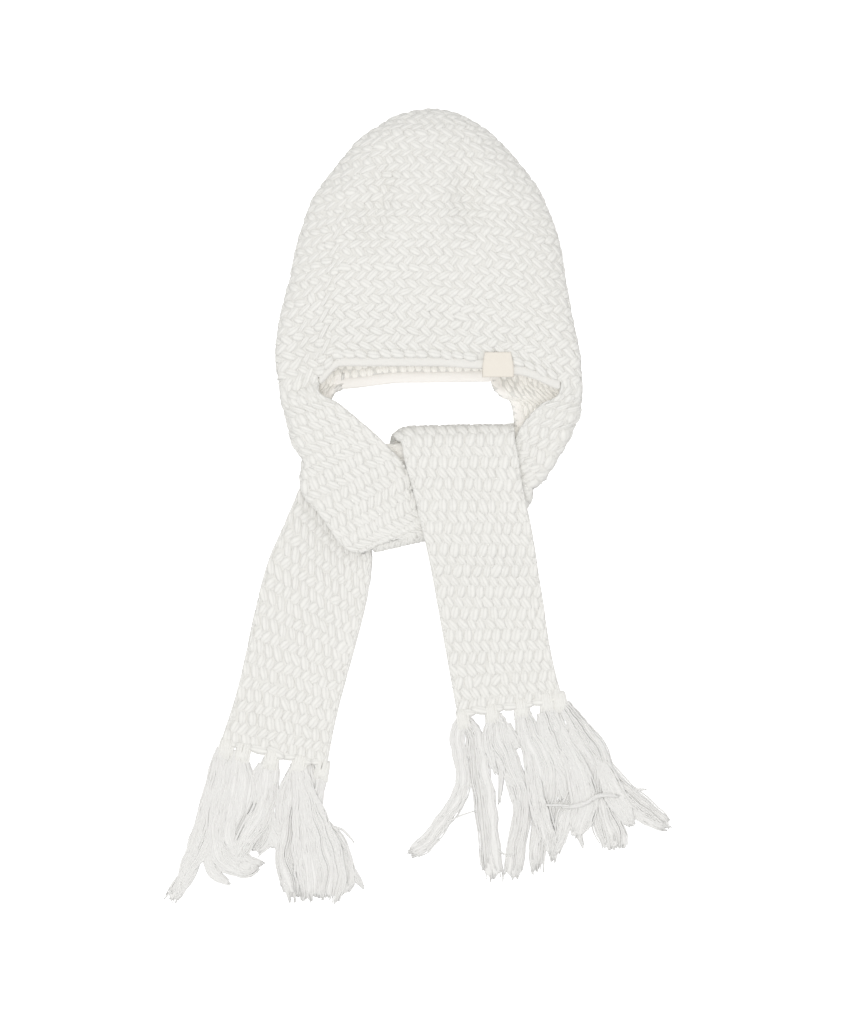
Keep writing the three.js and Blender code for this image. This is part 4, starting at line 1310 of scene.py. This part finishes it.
# A yarn's path over the edge: share of its place beside the middle, mm outwards, mm up.
KNOT_PATH = [(1, 9, 4), (0.95, 6, 6.6), (0.9, 3, 8.2), (0.88, 0, 9), (0.88, -3, 9.4), (0.86, -6, 9)]
KNOT_PATH += [(0.8, -8, 7.4), (0.78, -8.8, 5)]
UP = np.array([0.0, 0.0, 1.0])


def knot_place(middle, row):
    """A knot's middle on the end row, which way the row and the tassel run, and half its width."""
    middle, start, end = (np.array([*place, 0.0]) for place in (middle, *row))
    run = unit(end - start)
    along = (middle - start) @ run
    low, high = max(along - KNOT_HALF, -1.5), min(along + KNOT_HALF, np.linalg.norm(end - start) + 4)
    base = middle + run * ((low + high) / 2 - along)
    return base, run, np.array([run[1], -run[0], 0.0]), (high - low) / 2


def knot_strands(base, run, out, half):
    """Yarns side by side, drawn over the edge of the knit."""
    strands = []
    for side in np.linspace(-half, half, round(half) + 1):
        bend, low = chance.normal(0, 0.4, 2), 1 - 0.3 * (side / KNOT_HALF) ** 2
        start = base + run * bend[0] + out * bend[1]
        loop = [start + run * side * near + out * away + UP * up * low for near, away, up in KNOT_PATH]
        strands.append(through(loop, np.linspace(0, len(loop) - 1, 16)))
    return strands


def knot_core(base, run, out, half):
    """The inside of a knot as one soft lump."""

    def shape(u, v):
        draw = np.sin(math.pi * u) ** 0.5
        along = (2 * u - 1)[:, None] * (half + 1) * run
        aside = (1.2 + draw * 5.4 * np.cos(2 * math.pi * v))[:, None] * out
        rise = (5.4 + draw * 4.6 * np.sin(2 * math.pi * v))[:, None] * UP
        return base + along + aside + rise

    return bent_grid(10, 12, shape)


print("half widths of knots in mm:", [round(knot_place(m, END_ROWS["left"])[3], 1) for m in KNOTS["left"]])


# %% Curves made meshes
def strand_curve(name, strands, thickness, taper=0.7, sides=0):
    """Round strands of one thickness, as a curve with a bevel."""
    curve = bpy.data.curves.new(name, "CURVE")
    curve.dimensions = "3D"
    curve.bevel_depth = thickness / 2 * MM
    curve.bevel_resolution = sides
    curve.use_fill_caps = True
    for points in strands:
        spline = curve.splines.new("POLY")
        spline.points.add(len(points) - 1)
        radii = np.interp(np.linspace(0, 1, len(points)), [0, 0.85, 1], [1, 1, taper])
        for target, point, radius in zip(spline.points, points, radii):
            target.co = (*(np.array(point) * MM), 1)
            target.radius = radius
    return curve


def strands_and_cores(curve, cores):
    """The curve as a mesh, with the strands' ends welded shut, and the soft bodies inside it."""
    bm = bmesh.new()
    bm.from_mesh(evaluated_mesh(put(curve.name, curve)))
    bmesh.ops.remove_doubles(bm, verts=bm.verts, dist=WELD / 10)
    for core in cores:
        passing = mesh_of(core, "passing")
        bm.from_mesh(passing)
        bpy.data.meshes.remove(passing)
    return bm


def tassel(side, number):
    name = f"tassel_{side}_{number}_strands"
    strands = []
    cores = []
    for thick, path in LOCKS[f"{side}_{number}"]:
        strands += lock_strands(thick, path)
        cores += [lock_core(thick, path)] if thick > CORE_LEAST else []
    bm = strands_and_cores(strand_curve(name, strands, STRAND), cores)
    return finish_piece(bm, name, FRINGE, [f"tassel_{side}_{number}"])


def knot(side, number):
    """The yarns that hold a tassel to the knit, on one soft lump."""
    name = f"tassel_{side}_{number}_knot"
    place = knot_place(KNOTS[side][number - 1], END_ROWS[side])
    curve = strand_curve(name, knot_strands(*place), KNOT_YARN, taper=0.9, sides=2)
    bm = strands_and_cores(curve, [knot_core(*place)])
    return finish_piece(bm, name, KNOT_WOOL, [f"tassel_{side}_{number}"])


places = [(side, number) for side in ("left", "right") for number in range(1, 6)]
tassels = [tassel(*place) for place in places]
knots = [knot(*place) for place in places]
print("knot faces:", [len(piece.data.polygons) for piece in knots])
print("tassel faces:", [len(piece.data.polygons) for piece in tassels])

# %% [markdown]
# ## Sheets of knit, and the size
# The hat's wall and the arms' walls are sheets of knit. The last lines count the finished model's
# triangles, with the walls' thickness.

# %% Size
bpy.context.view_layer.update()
depsgraph = bpy.context.evaluated_depsgraph_get()
finished = [piece.evaluated_get(depsgraph).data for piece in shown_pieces()]
print("triangles, with the walls' thickness:", sum(len(mesh.loop_triangles) for mesh in finished))
